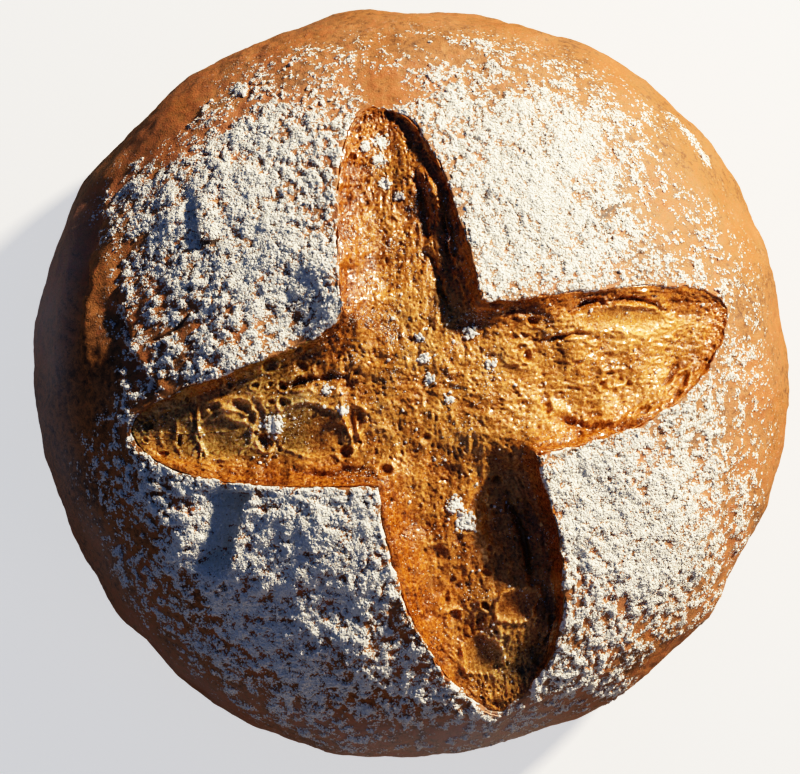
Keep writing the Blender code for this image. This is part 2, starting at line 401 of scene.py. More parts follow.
def mesh_piece(name, points, faces, values=None, normals=None, smooth=True):
    """Write the used points, in millimetres, the faces and named values per point to a new object."""
    corners = np.concatenate([np.asarray(group).ravel() for group in faces])
    sizes = np.concatenate([np.full(len(group), group.shape[1]) for group in faces])
    starts = np.concatenate(([0], np.cumsum(sizes)))[:-1]
    used, corners = np.unique(corners, return_inverse=True)
    mesh = bpy.data.meshes.new(name)
    mesh.vertices.add(len(used))
    mesh.vertices.foreach_set("co", (points[used] * MM).astype(np.float32).ravel())
    mesh.loops.add(len(corners))
    mesh.loops.foreach_set("vertex_index", corners.ravel().astype(np.int32))
    mesh.polygons.add(len(sizes))
    mesh.polygons.foreach_set("loop_start", starts.astype(np.int32))
    mesh.update(calc_edges=True)
    mesh.validate()
    for key, value in (values or {}).items():
        layer = mesh.attributes.new(key, "FLOAT", "POINT")
        layer.data.foreach_set("value", value[used].astype(np.float32))
    if smooth:
        mesh.shade_smooth()
    else:
        mesh.shade_flat()
    if normals is not None:
        mesh.normals_split_custom_set_from_vertices(normals[used].tolist())
    piece = add_object(name, mesh)
    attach(piece, "root")
    print(name, "triangles:", int((sizes - 2).sum()))
    return piece


# %% [markdown]
# ## The crumb's own marks
#
# Some bubbles and tears are large enough to know one by one: the pair of broad glassy bubbles in the
# left arm, the round one near the lower tip, the long smooth patch in the right arm. They are listed
# one by one. Everything smaller is scattered.

# %% Named bubbles and tears
# Bowls: x, y, half length, half width, turn in degrees, depth, height of the rim
BOWLS = (
    (-48.3, -19.1, 6.5, 6.0, 10.0, 0.9, 0.5),
    (-26.3, -18.4, 8.6, 6.4, -8.0, 0.8, 0.45),
    (-44.6, -12.9, 2.7, 2.2, 35.0, 1.0, 0.5),
    (-50.9, -12.8, 2.0, 1.7, 0.0, 0.7, 0.35),
    (-61.0, -18.8, 4.6, 7.0, 8.0, 0.5, 0.25),
    (-60.7, -20.4, 1.2, 1.5, 0.0, 1.9, 0.2),
    (-17.3, -23.9, 2.2, 1.8, 20.0, 1.3, 0.5),
    (-14.6, -15.2, 2.4, 3.4, 12.0, 1.2, 0.5),
    (18.1, -75.9, 5.6, 4.9, 15.0, 0.4, 0.4),
    (27.0, -63.0, 5.6, 4.0, 25.0, 1.3, 0.6),
    (10.4, -66.4, 2.2, 1.7, 40.0, 1.2, 0.4),
    (18.7, -63.3, 1.1, 1.0, 0.0, 1.6, 0.2),
    (19.1, -54.5, 1.0, 1.1, 0.0, 1.5, 0.2),
    (-7.0, -29.0, 1.7, 1.3, 0.0, 1.8, 0.2),
    (22.0, -31.2, 1.3, 1.2, 0.0, 1.8, 0.2),
    (54.0, 10.4, 12.8, 3.1, 1.0, 1.1, 0.3),
    (30.9, 9.5, 1.5, 1.3, 0.0, 1.8, 0.2),
    (29.5, 0.9, 1.6, 1.4, 0.0, 1.9, 0.2),
    (49.2, -5.9, 1.2, 1.0, 30.0, 1.5, 0.2),
    (54.1, -5.2, 1.1, 0.9, 0.0, 1.3, 0.2),
    (70.8, -4.2, 2.8, 1.6, 55.0, 1.5, 0.3),
    (39.7, -16.2, 1.8, 1.2, -20.0, 1.5, 0.2),
    (59.5, -13.2, 2.6, 1.1, 25.0, 1.4, 0.2),
    (34.7, -12.9, 1.2, 1.0, 0.0, 1.3, 0.2),
    (-15.8, 53.0, 0.9, 1.0, 0.0, 1.2, 0.1),
    (3.5, -21.0, 1.5, 1.2, 30.0, 1.2, 0.2),
)
BOWL_RIM = 0.45
# Tears: from x, y to x, y, bow, width, depth; a negative depth is a raised strand
TEARS = (
    (39.6, 11.6, 50.0, 14.2, 0.8, 0.8, 2.2),
    (50.0, 14.2, 65.5, 13.6, 1.4, 0.7, 1.5),
    (30.0, 4.5, 46.0, 7.0, -0.8, 0.6, 1.2),
    (69.5, 1.6, 65.2, -6.1, 0.9, 0.7, 1.4),
    (36.0, -15.0, 62.0, -15.4, -2.2, 0.8, 1.3),
    (0.0, 50.5, 3.8, 29.0, 0.7, 0.9, 1.2),
    (3.8, 29.0, 10.4, 12.0, -0.6, 0.8, 1.2),
    (5.4, 42.0, 11.2, 22.0, 0.5, 0.8, 1.0),
    (3.2, 47.0, 7.6, 34.5, 0.8, 0.9, -2.0),
    (8.2, 38.0, 12.4, 23.0, -0.6, 0.7, -1.6),
    (-34.0, -7.6, -16.0, -4.8, 0.9, 0.9, 2.0),
    (-30.5, -28.6, -12.0, -27.6, -0.8, 0.8, 1.4),
    (24.6, -36.0, 31.0, -58.0, 1.5, 0.9, 1.8),
    (-65.6, -13.6, -64.0, -24.6, -0.6, 0.35, -0.5),
    (-61.9, -10.6, -60.0, -26.0, -0.5, 0.35, -0.5),
    (-55.6, -9.2, -54.8, -26.9, 0.4, 0.4, -0.8),
    (-38.8, -9.2, -37.4, -26.0, 0.8, 0.6, -0.6),
    (-18.9, -10.4, -15.8, -21.5, 0.7, 0.35, -0.9),
    (-14.6, -11.8, -12.6, -23.4, -0.5, 0.35, -0.8),
    (12.6, -70.0, 14.6, -82.0, -0.8, 0.4, -0.7),
    (22.5, -68.0, 24.4, -80.5, 1.0, 0.4, -0.25),
)


def stretched(x, y, middle_x, middle_y, length, width, turn):
    """Places in an oval's own turned frame: along it and across it, each 1 at its border."""
    angle = math.radians(turn)
    dx = x - middle_x
    dy = y - middle_y
    along = (dx * math.cos(angle) + dy * math.sin(angle)) / length
    return along, (dy * math.cos(angle) - dx * math.sin(angle)) / width


def named_bowls(x, y):
    """Sink, rim and inside of the bowls placed by hand, with d the distance in a bowl's own frame.

    The sink is 0.8 * depth * (1 - d^2), the rim a narrow bell round d = 1, the inside an eased disc.
    """
    sink = np.zeros_like(x)
    rim = np.zeros_like(x)
    inside = np.zeros_like(x)
    for *oval, depth, rim_height in BOWLS:
        away = np.hypot(*stretched(x, y, *oval))
        share = BOWL_RIM / min(oval[2:4])
        sink = np.maximum(sink, 0.8 * depth * np.clip(1.0 - away**2, 0.0, 1.0))
        rim = np.maximum(rim, rim_height * np.exp(-(((away - 1.0 - share) / share) ** 2)))
        inside = np.maximum(inside, smooth_step((1.05 - away) / 0.15))
    return sink, rim, inside


def named_tears(x, y, rows):
    """Depth of the tears and height of the strands, bell-shaped in section along bowed lines.

    At the share t of its length a line is bow * 4 * t * (1 - t) off the straight one.
    """
    sink = np.zeros_like(x)
    strand = np.zeros_like(x)
    for start_x, start_y, end_x, end_y, bow, width, depth in rows:
        run_x = end_x - start_x
        run_y = end_y - start_y
        length = math.hypot(run_x, run_y)
        along = ((x - start_x) * run_x + (y - start_y) * run_y) / length**2
        across = ((y - start_y) * run_x - (x - start_x) * run_y) / length
        arch = 4.0 * along * (1.0 - along)
        mark = depth * np.exp(-(((across - bow * arch) / width) ** 2)) * np.clip(arch, 0.0, 1.0) ** 0.5
        sink = np.maximum(sink, mark)
        strand = np.maximum(strand, -mark)
    return sink, strand


print("bowls:", len(BOWLS), "tears and strands:", len(TEARS))

# %% [markdown]
# ## The crumb's grid
#
# The torn crumb could be one grid over the whole cross, but its cells would be long and thin in the
# arms. Five patches that share their borders keep them even: a four-sided one in the middle and one
# for each arm, whose rungs run from one side curve to the other.

# %% Crumb grid
ACROSS = 150
ALONG = 208
TUCK = 0.9
TIP_TUCK = 1.8
CORNER_TURN = 2.5
TIP_SHARE = 0.99
# The last rungs give an arm's direction, and past this share of its length they are pushed on
AXIS_RUNGS = 30
PUSH_FROM = 0.93
PUSH_OVER = 0.06
ARMS = ((7, 0), (1, 2), (3, 4), (5, 6))


def tucked(points, onward):
    """Side points pushed out under the crust by TUCK, square to the side that runs onward.

    At the corner of crust, where two sides start, the push points away from the cross's middle
    and turns square over the first millimetres, so that both sides start at one place.
    """
    tangent = np.gradient(onward, axis=0)
    push = np.column_stack([tangent[:, 1], -tangent[:, 0]])
    push /= np.hypot(*push.T)[:, None]
    corner = points[0] - CROSS_MIDDLE
    square = smooth_step(np.hypot(*(points - points[0]).T) / CORNER_TURN)[:, None]
    push = square * push + (1.0 - square) * corner / np.hypot(*corner)
    return points + TUCK * push / np.hypot(*push.T)[:, None]


def arm_patch(first, second):
    """Rungs from one side of an arm to the other: (1 - u) * right side + u * left side.

    The last rungs are pushed on past the tip, under the crust.
    """
    share = np.linspace(0.0, TIP_SHARE, ALONG + 1)
    right = curve_points(SIDES[first], share)
    left = curve_points(SIDES[second], 1.0 - share)
    right = tucked(right, right)
    left = tucked(left, -left)
    u = np.linspace(0.0, 1.0, ACROSS + 1)[None, :, None]
    patch = (1.0 - u) * right[:, None] + u * left[:, None]
    axis = patch[-1].mean(axis=0) - patch[-AXIS_RUNGS].mean(axis=0)
    push = TIP_TUCK * smooth_step((share - PUSH_FROM) / PUSH_OVER)
    return patch + push[:, None, None] * axis / np.hypot(*axis)


def middle_patch(arms):
    """The four-sided patch between the arms' roots: opposite roots blended, corners counted once."""
    east, north, west, south = (arm[0] for arm in arms)
    v = np.linspace(0.0, 1.0, ACROSS + 1)[:, None, None]
    u = np.linspace(0.0, 1.0, ACROSS + 1)[None, :, None]
    rows = (1.0 - v) * north[None, :] + v * south[::-1][None, :]
    columns = (1.0 - u) * east[::-1][:, None] + u * west[:, None]
    corners = (1.0 - v) * ((1.0 - u) * north[0] + u * north[-1])
    corners = corners + v * ((1.0 - u) * south[-1] + u * south[0])
    return rows + columns - corners


def weld(patches):
    """One list of points from several grids, with the points that meet made one, and each grid's faces.

    A grid that faces down, by the sum of its faces' signed areas, has its faces turned over.
    """
    points = np.concatenate([patch.reshape(-1, 2) for patch in patches])
    keys = np.floor(points * 1.0e5 + 0.37).astype(np.int64)
    _, first, inverse = np.unique(keys, axis=0, return_index=True, return_inverse=True)
    groups = []
    count = 0
    for patch in patches:
        rows, columns, _ = patch.shape
        index = inverse.ravel()[count : count + rows * columns].reshape(rows, columns)
        count += rows * columns
        quads = np.stack([index[:-1, :-1], index[1:, :-1], index[1:, 1:], index[:-1, 1:]], axis=-1)
        diagonal = patch[1:, 1:] - patch[:-1, :-1]
        other = patch[:-1, 1:] - patch[1:, :-1]
        area = (diagonal[..., 0] * other[..., 1] - diagonal[..., 1] * other[..., 0]).sum()
        quads = quads.reshape(-1, 4)
        groups.append(quads if area > 0.0 else quads[:, ::-1])
    return points[first], groups


arm_grids = [arm_patch(first, second) for first, second in ARMS]
flat, patch_quads = weld(arm_grids + [middle_patch(arm_grids)])
crumb_quads = np.concatenate(patch_quads)
print("crumb points:", len(flat), "expected", 4 * (ALONG + 1) * (ACROSS + 1) + (ACROSS - 1) ** 2)

# %% [markdown]
# ## The crumb's form
#
# The crumb hangs from the underside of the crust, so it starts a small step below the cut edge and
# then sinks to the floor. In the narrow arms two walls meet in the middle. Blurring the sink there
# rounds the meeting line, which a formula alone would leave as a sharp crease.

# %% Crumb form
EDGE_STEP = 0.9
SOFT_STEP = 0.25
# Reach of the blur, and where it sets in with the distance from the edge
BLUR = 2.2
BLUR_FROM = 1.5
BLUR_OVER = 3.0
# Where the crumb comes up to the crust at the end of an arm: x, y, reach, share of the sink left
SOFT_TIPS = (
    (-9.5, 64.5, 10.0, 0.25),
    (82.0, 11.0, 10.0, 0.35),
    (24.0, -88.5, 10.0, 0.40),
)


def is_inside(x, y):
    """True inside the cross: nearer to its middle than the outline is in that direction."""
    outline = cut_outline(60) - CROSS_MIDDLE
    angle = np.arctan2(outline[:, 1], outline[:, 0])
    order = np.argsort(angle)
    reach = np.hypot(*outline.T)
    here = np.arctan2(y - CROSS_MIDDLE[1], x - CROSS_MIDDLE[0])
    edge = np.interp(here, angle[order], reach[order], period=2.0 * math.pi)
    return np.hypot(x - CROSS_MIDDLE[0], y - CROSS_MIDDLE[1]) < edge


def crumb_form(x, y):
    """Smooth crumb: the dome, less an edge step and the sink; outside the cut it dips under the crust."""
    distance, towards, travel = nearest_edge(x, y)
    inside = is_inside(x, y)
    sink, down = crumb_sink(x, y, distance, towards)
    blurred = np.zeros_like(x)
    for turn in (0.0, 120.0, 240.0):
        near_x = x + BLUR * math.cos(math.radians(turn))
        near_y = y + BLUR * math.sin(math.radians(turn))
        near_distance, near_towards, _ = nearest_edge(near_x, near_y)
        blurred += crumb_sink(near_x, near_y, near_distance, near_towards)[0] / 3.0
    sink = sink + (blurred - sink) * smooth_step((distance - BLUR_FROM) / BLUR_OVER)
    steep = (EASY_WALL - wall_width(x, y, towards)) / (EASY_WALL - STEEP_WALL)
    for *tip, left in SOFT_TIPS:
        near = bell(x, y, *tip)
        sink = sink * (1.0 - (1.0 - left) * near)
        steep = steep * (1.0 - near)
    step = SOFT_STEP + (EDGE_STEP - SOFT_STEP) * steep
    height = dome(x, y) + lift(x, y, distance) + bells(x, y, SWELLS)
    under = step + 0.1 * distance + 1.5 * (distance - 0.5).clip(0.0, None)
    height = height - np.where(inside, step + sink * (1.0 - step / CRUMB_DEPTH), under)
    distance = np.where(inside, distance, 0.0)
    return height, distance, travel, np.where(inside, sink, 0.0), steep * (1.0 - down * inside)


x, y = flat.T
height, distance, travel, sink, steep = crumb_form(x, y)
crumb_points = np.column_stack([x, y, height])
print("deepest sink of the crumb, mm:", round(sink.max(), 1))

# %% [markdown]
# ## The crumb's torn foam
#
# Gluten-free dough gels and tears into cells of three sizes. Modelling each cell is hopeless, so
# scattered bowls with soft rims make them. On the floor they are drawn out along the arms, on the walls
# along the edge. Noise bends them first, because regular bowls look like a sieve.

# %% Crumb relief
# Sizes of cell: pitch, smallest and largest radius, share of squares filled, depth, seed step
SPONGE = (
    (4.4, 0.5, 1.7, 0.26, 0.36, 5),
    (2.3, 0.35, 1.0, 0.45, 0.42, 6),
    (1.25, 0.28, 0.60, 0.80, 0.50, 7),
)
# The pockets of the glassy left arm: the same, without depth and step, and their seed
POCKETS = (4.4, 0.9, 2.3, 0.75, 160)
GLASSY_ARM = -18.0
# The tips are all floor: from this far off, over this much
TIP_REACH = 24.0
TIP_OVER = 10.0
# How far cells are drawn out on the floor and on the walls
DRAWN_FLOOR = 1.35
DRAWN_WALL = 1.5


def bent(u, v, large, small, seed):
    """Places bent by noise of two sizes, so that nothing over them lies in straight rows."""
    ground = plane(u, v)
    bend_u = layers(ground, (0.7, large, seed + 1), (0.25, small, seed + 2))
    bend_v = layers(ground, (0.7, large, seed + 3), (0.25, small, seed + 4))
    return u + bend_u, v + bend_v


def sponge(u, v, seed):
    """Torn foam: bowls of three sizes over bent places.

    Returns millimetres of relief, how hollow each point is, 0 to 1, and how near to a cell's rim.
    """
    bent_u, bent_v = bent(u, v, 3.3, 1.1, seed)
    result = np.zeros((3, len(u)))
    for pitch, small, large, fill, deep, step in SPONGE:
        bowl, rim = bubbles(bent_u, bent_v, pitch, small, large, fill, seed + step)
        result[0] += deep * (0.20 * rim * large - bowl)
        result[1] = np.maximum(result[1], (bowl / large) ** 1.5)
        result[2] = np.maximum(result[2], rim)
    return result


def crumb_relief(x, y, distance, travel, sink):
    """Fine relief along the normal, in millimetres, how hollow and how near a rim, and how calm.

    It is foam, fibres, lumps, webs and grain, blended from wall to floor by distance from the edge.
    The marks placed by hand come last and calm the foam round them.
    """
    ground = plane(x, y)
    bent_x, bent_y = bent(x, y, 3.5, 1.2, 150)
    bowl, rim, calm = named_bowls(bent_x, bent_y)
    tear, strand = named_tears(bent_x, bent_y, TEARS)
    glassy = smooth_step((GLASSY_ARM - x) / 12.0) * (1.0 - calm) * smooth_step((y + 28.0) / 4.0)
    pocket, pocket_rim = bubbles(bent_x, bent_y, *POCKETS)
    east_west = smooth_step(0.5 + (np.abs(x - CROSS_MIDDLE[0]) - np.abs(y - CROSS_MIDDLE[1])) / 14.0)
    on_floor = smooth_step((distance - 3.5) / 4.0)
    for tip_x, tip_y in (TIP_E, TIP_N, TIP_W, TIP_S):
        at_tip = (TIP_REACH - np.hypot(x - tip_x, y - tip_y)) / TIP_OVER
        on_floor = np.maximum(on_floor, smooth_step(at_tip))
    down_wall = distance + 0.8 * sink
    across = sponge(x / DRAWN_FLOOR, y, 100)
    along = sponge(x, y / DRAWN_FLOOR, 120)
    wall = sponge(travel / DRAWN_WALL, down_wall, 140)
    relief, hollow, cell = wall + (along + (across - along) * east_west - wall) * on_floor
    lengthwise = np.where(east_west > 0.5, x, y)
    crosswise = np.where(east_west > 0.5, y, x)
    on_wall = fibres(travel, down_wall, (0.26, 6.0, 1.3, 28), (0.18, 5.0, 0.7, 29))
    streaks = fibres(lengthwise, crosswise, (0.20, 4.0, 1.3, 26), (0.13, 3.0, 0.7, 27))
    streaks = on_wall + (streaks - on_wall) * on_floor
    lumps = layers(ground, (0.60, 7.0, 21), (0.30, 3.1, 22))
    webs = 0.14 - 0.46 * np.abs(noise(plane(bent_x, bent_y), 4.2, 37))
    grain = layers(ground, (0.11, 0.85, 24), (0.07, 0.6, 25))
    busy = 1.0 - 0.75 * calm - 0.4 * glassy
    relief = lumps * (1.0 - 0.5 * calm) + busy * (relief + grain + streaks + webs)
    relief += rim + strand - bowl - tear + glassy * (0.32 * pocket_rim - 0.5 * pocket)
    # The hollow and rim values darken the crumb's colour in hollows and tears and lighten it on rims:
    # painted shade and painted highlight.
    hollow = busy * hollow + 0.04 * bowl + 0.40 * tear + 0.10 * glassy * pocket
    return relief * smooth_step(distance), hollow, busy * cell + rim + glassy * pocket_rim, calm


relief, hollow, cell, calm = crumb_relief(x, y, distance, travel, sink)
crumb_points += point_normals(crumb_points, crumb_quads) * relief[:, None]
crumb_normals = point_normals(crumb_points, crumb_quads)
print("crumb relief, mm:", round(relief.min(), 2), "to", round(relief.max(), 2))

# %% [markdown]
# ## How light, how toasted and how glassy the crumb is
#
# The crumb browns most near the cut edge, where the oven's heat reached it. Its hollows, tears and the
# steep walls in the cut edge's shadow are painted darker, and its ridges and cell rims lighter: painted
# shade and painted highlight. A picture could hold these shades, but values kept per point follow the
# relief exactly. The material reads three of them: shade, toast and glass.

# %% Crumb shades
# Ovals that are lighter or darker: x, y, half length, half width, turn, change of shade
SHADES = (
    (-13.0, 34.0, 7.0, 22.0, 0.0, -0.14),
    (-1.0, -47.0, 7.0, 20.0, 0.0, -0.12),
    (53.0, 10.5, 11.0, 3.0, 0.0, 0.22),
)
# Where the lower arm is glassy too: x, y, reach
GLASSY_TIP = (25.0, -79.0, 12.0)

ground = plane(x, y)
# Steep walls, which lie in the shadow of the cut edge, and hollows are painted darker; ridges and cell rims
# are painted lighter: painted shade and painted highlight.
shade = 0.575 - 0.16 * steep + layers(ground, (0.06, 8.0, 31), (0.065, 2.6, 32), (0.09, 0.9, 33))
shade += 0.18 * relief.clip(-0.6, 0.6) - 0.26 * hollow + 0.12 * cell
shade -= 0.20 * np.clip(1.0 - distance / 11.0, 0.0, 1.0) * (1.0 - steep)
shade += 0.05 * smooth_step((x - 22.0) / 20.0) + 0.10 * smooth_step((-38.0 - x) / 12.0)
for *oval, change in SHADES:
    shade += change * np.exp(-(np.hypot(*stretched(x, y, *oval)) ** 2))
toast = np.clip(1.0 - distance / 9.0, 0.0, 1.0) + 0.5 * smooth_step((-28.0 - y) / 16.0)
toast += layers(ground, (0.35, 9.0, 34), (0.2, 2.2, 36))
glass = smooth_step((GLASSY_ARM - x) / 12.0) * (0.75 + 0.5 * noise(ground, 6.0, 35) + 0.3 * calm)
glass = glass * (0.15 + 0.85 * smooth_step((y + 27.5) / 5.0))
glass = np.maximum(glass, 0.9 * bell(x, y, *GLASSY_TIP))
crumb_values = {"shade": shade, "toast": toast.clip(0.0, 1.0), "glass": glass.clip(0.0, 1.0)}
print("crumb shade:", round(shade.min(), 2), "to", round(shade.max(), 2))

PARTS_OF_CRUMB = (
    ("crumb_across", [patch_quads[0], patch_quads[2]]),
    ("crumb_along", [patch_quads[1], patch_quads[3], patch_quads[4]]),
)
crumb_pieces = []
for name, faces in PARTS_OF_CRUMB:
    piece = mesh_piece(name, crumb_points, faces, crumb_values, crumb_normals)
    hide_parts("loaf")
    crumb_pieces.append(piece)

# %% [markdown]
# ## Where flour lies
#
# Flour was sieved over the dough before it was scored, so it lies on the four leaves of crust, thick
# near the cut and thin towards the side, where it was rubbed off. It could be painted. A formula of
# direction and distance does the same for the crust's material, its relief and its loose grains.

# %% Flour cover
# Where flour lies thick on the four leaves of crust: direction, spread in degrees, cover
DUSTED = (
    (54.0, 30.0, 0.60),
    (142.0, 32.0, 0.49),
    (236.0, 38.0, 0.60),
    (286.0, 20.0, 0.42),
    (326.0, 34.0, 0.47),
)
THIN_COVER = 0.28
# Directions in which flour reaches further down the side, with their spreads
LOW_SIDE = (292.0, 80.0)
HIGH_SIDE = (138.0, 40.0)
# Bare or floured patches: x, y, radius, change of cover
PATCHES = (
    (62.0, 38.0, 14.0, -0.26),
    (76.0, 55.0, 14.0, -0.10),
    (-7.5, 71.0, 8.0, -0.35),
    (-79.0, 22.0, 15.0, -0.30),
    (-84.0, -4.0, 12.0, -0.28),
    (33.0, 47.0, 15.0, 0.08),
    (50.0, 24.0, 13.0, 0.10),
    (-49.0, -39.0, 7.0, 0.45),
    (-45.0, -32.0, 3.0, 0.40),
    # This patch is partly real flour and partly painted light that lightens the shaded lower right rim
    (50.0, -84.0, 12.0, 0.25),
    (74.0, -57.0, 14.0, 0.22),
    (-33.0, 22.0, 12.0, 0.25),
    (45.0, -32.0, 12.0, 0.18),
    (-15.0, -42.0, 14.0, 0.15),
    (-66.0, 68.0, 12.0, -0.25),
    (68.0, -78.0, 10.0, -0.22),
    (45.0, -92.0, 9.0, -0.15),
)
# Streaks of flour: from x, y to x, y, bow, width, cover
STREAKS = (
    (69.6, 71.1, 81.8, 55.4, 0.8, 1.1, 0.48),
    (47.4, 69.5, 61.0, 64.0, 0.6, 1.2, 0.35),
    (4.0, 88.0, 22.0, 86.0, 0.6, 1.0, 0.30),
)
# Where flour lies smooth, in the fold of the lower left leaf: x, y, reach
SMOOTH_FOLD = (-48.5, -39.0, 7.0)
# The loaf turns from its lit side to its shaded side over this many millimetres
LIGHT_TO_SHADE = 160.0


def side_bell(angle, direction, spread):
    """A bell in direction, 1 towards it: exp(-(turn / spread)^2), both in degrees."""
    turn = (np.degrees(angle) - direction + 180.0) % 360.0 - 180.0
    return np.exp(-((turn / spread) ** 2))


def flour_cover(x, y, distance):
    """Share of the crust that flour hides, 0 to 1.

    Bell-shaped in direction round the four leaves, full near the cut and gone near the widest
    ring, then changed by the patches, and ragged at the lip.
    """
    angle = np.arctan2(y, x)
    leaf = np.zeros_like(x)
    for direction, spread, cover in DUSTED:
        leaf = np.maximum(leaf, cover * side_bell(angle, direction, spread))
    low_side = side_bell(angle, *LOW_SIDE)
    start = 0.50 + 0.28 * low_side + 0.16 * side_bell(angle, *HIGH_SIDE)
    end = 0.97 + 0.08 * low_side
    cover = (THIN_COVER + leaf) * (1.0 - smooth_step((rim_share(x, y) - start) / (end - start)))
    for *patch, change in PATCHES:
        cover = cover + change * bell(x, y, *patch) * smooth_step(cover * 10.0)
    thinned = (0.10 + 0.70 * noise(plane(x, y), 3.0, 40)).clip(0.0, 0.7) * np.exp(-distance / 1.2)
    return np.clip(cover, 0.0, 1.1) * (1.0 - thinned) * smooth_step((distance + 0.3) / 0.3)


def shady(x, y):
    """0 on the side that faces the lamp, 1 on the far side, where flour clots more coarsely."""
    return smooth_step(0.5 - (x + y) / LIGHT_TO_SHADE)


def clumped(points, cover):
    """Cover made patchy: noise of four sizes is added to it where there is any flour."""
    x, y, _ = points.T
    patchy = layers(points, (0.16, 11.0, 41), (0.24, 4.2, 42), (0.46, 0.95, 44))
    patchy += (0.30 + 0.40 * shady(x, y)) * noise(points, 1.8, 43)
    return cover + patchy * smooth_step(cover * 8.0) * (1.0 - 0.7 * bell(x, y, *SMOOTH_FOLD))


test = flour_cover(np.array([-20.0, -60.0]), np.array([-50.0, -70.0]), np.array([8.0, 30.0]))
print("flour cover of the lower left leaf, near the cut and near the rim:", test.round(2))

# %% [markdown]
# ## The crust's form and skin
#
# As the loaf burst, the skin tore in flakes at the far left, folded in the lower left leaf and kept
# dents, creases and cracks. Over all of it lie soft lumps, leathery wrinkles and caked flour. They are
# heights added to the dome, the large ones listed one by one and the fine ones from noise, because low
# light shows every one of them.

# %% Crust form
CRUST_WAVE = 41.0
CRUST_WAVE_HEIGHT = 0.6
# The torn ledge at the left, higher and further out than the solid's, and the crease
LEDGE_RADIUS = 87.5
LEDGE_DIRECTION = math.radians(168.0)
LEDGE_HALF_ANGLE = math.radians(18.0)
LEDGE_HEIGHT = 2.8
LEDGE_WIDTH = 9.0
CREASE_X = -56.0
CREASE_Y = 38.0
CREASE_HALF_LENGTH = 9.0
CREASE_WIDTH = 4.5
CREASE_HEIGHT = 1.2
# Soft dents: x, y, half length, half width, turn in degrees, depth
DENTS = (
    (18.4, 41.5, 1.7, 1.4, 20.0, 1.2),
    (39.5, 35.4, 2.2, 1.3, 60.0, 0.7),
    (12.5, 54.5, 1.6, 1.2, 0.0, 0.6),
    (16.0, 57.0, 1.3, 1.0, 0.0, 0.5),
    (29.5, 58.5, 2.4, 1.2, -30.0, 0.5),
    (43.0, -31.0, 1.8, 3.0, 10.0, 0.8),
    (42.0, -52.0, 2.4, 5.0, 5.0, 1.0),
    (-47.0, -35.5, 4.6, 7.0, 20.0, 1.4),
    (-31.0, -49.0, 7.0, 6.0, 0.0, 1.2),
    (-20.0, -62.0, 8.0, 5.0, -20.0, 1.2),
    (-30.5, 20.5, 5.5, 4.0, 30.0, 0.7),
)
# Cracks: from x, y to x, y, bow, width, depth
CRACKS = (
    (-68.9, 5.0, -57.3, 12.3, -1.3, 0.40, 0.6),
    (-56.0, 30.6, -49.2, 30.9, -0.3, 0.50, 1.0),
    (-52.5, 30.8, -49.8, 28.9, 0.2, 0.40, 0.7),
    (51.2, 32.4, 48.6, 36.0, 0.5, 0.40, 0.5),
    (48.6, 36.0, 54.7, 40.9, 1.0, 0.40, 0.5),
)
# Torn skin: a sharp step down to the left of a line of x, y points, which then comes back up slowly
# Drop, millimetres over which it comes back, and the line from its lower to its upper end
TORN_LINES = (
    (2.6, 9.0, ((-83.5, -9.0), (-85.6, -3.3), (-86.6, 4.2), (-87.0, 10.9), (-86.4, 18.2), (-84.9, 19.1),
                (-85.4, 23.0), (-86.5, 27.3), (-84.2, 34.1), (-82.9, 41.1), (-82.8, 46.5), (-80.5, 52.0))),
    (2.2, 9.0, ((-63.0, -11.0), (-66.0, -6.5), (-69.5, -1.5), (-73.0, 3.5), (-73.6, 8.5), (-75.5, 14.5),
                (-79.0, 17.5))),
    (6.6, 14.0, ((-47.5, -56.0), (-45.0, -46.0), (-42.4, -38.0), (-41.4, -33.5), (-41.0, -25.0))),
    (2.3, 4.2, ((-54.2, 26.0), (-54.7, 28.6), (-55.4, 32.7), (-55.8, 38.2), (-56.8, 43.9), (-57.2, 46.5))),
)
# The torn steps set in this far from the cut, over this much, clear of the crumb under the edge
TORN_FROM = 1.4
TORN_OVER = 2.8


def crust_marks(x, y):
    """Height of the torn ledge at the left and of the crease at the upper left."""
    turn = np.arctan2(y, x) - LEDGE_DIRECTION
    turn = (turn + math.pi) % (2.0 * math.pi) - math.pi
    inward = (LEDGE_RADIUS - np.hypot(x, y)) / LEDGE_WIDTH
    ledge = smooth_step(1.0 + inward * 2.0) * smooth_step(1.0 - inward)
    ledge = ledge * np.clip(1.0 - (turn / LEDGE_HALF_ANGLE) ** 2, 0.0, 1.0)
    across = (x - CREASE_X) / CREASE_WIDTH
    along = (y - CREASE_Y) / CREASE_HALF_LENGTH
    crease = np.exp(-((across - 0.6) ** 2) * 4.0) * np.clip(1.0 - along**2, 0.0, 1.0)
    return LEDGE_HEIGHT * ledge + CREASE_HEIGHT * crease


def crust_height(x, y, distance):
    """Smooth height of the crust outside the cross; swell and marks die out at the widest ring."""
    inner = smooth_step((1.0 - rim_share(x, y)) / 0.12)
    swell = CRUST_WAVE_HEIGHT * waves(x, y, CRUST_WAVE) * smooth_step(distance / 12.0)
    return dome(x, y) + lift(x, y, distance) + (swell + crust_marks(x, y) + bells(x, y, SWELLS)) * inner


def dents(x, y):
    """Depth of the soft dents: exp(-d^3), with d the distance in each one's own frame."""
    depth = np.zeros_like(x)
    for *oval, deep in DENTS:
        along, across = stretched(x, y, *oval)
        depth += deep * np.exp(-(along**2 + across**2) ** 1.5)
    return depth


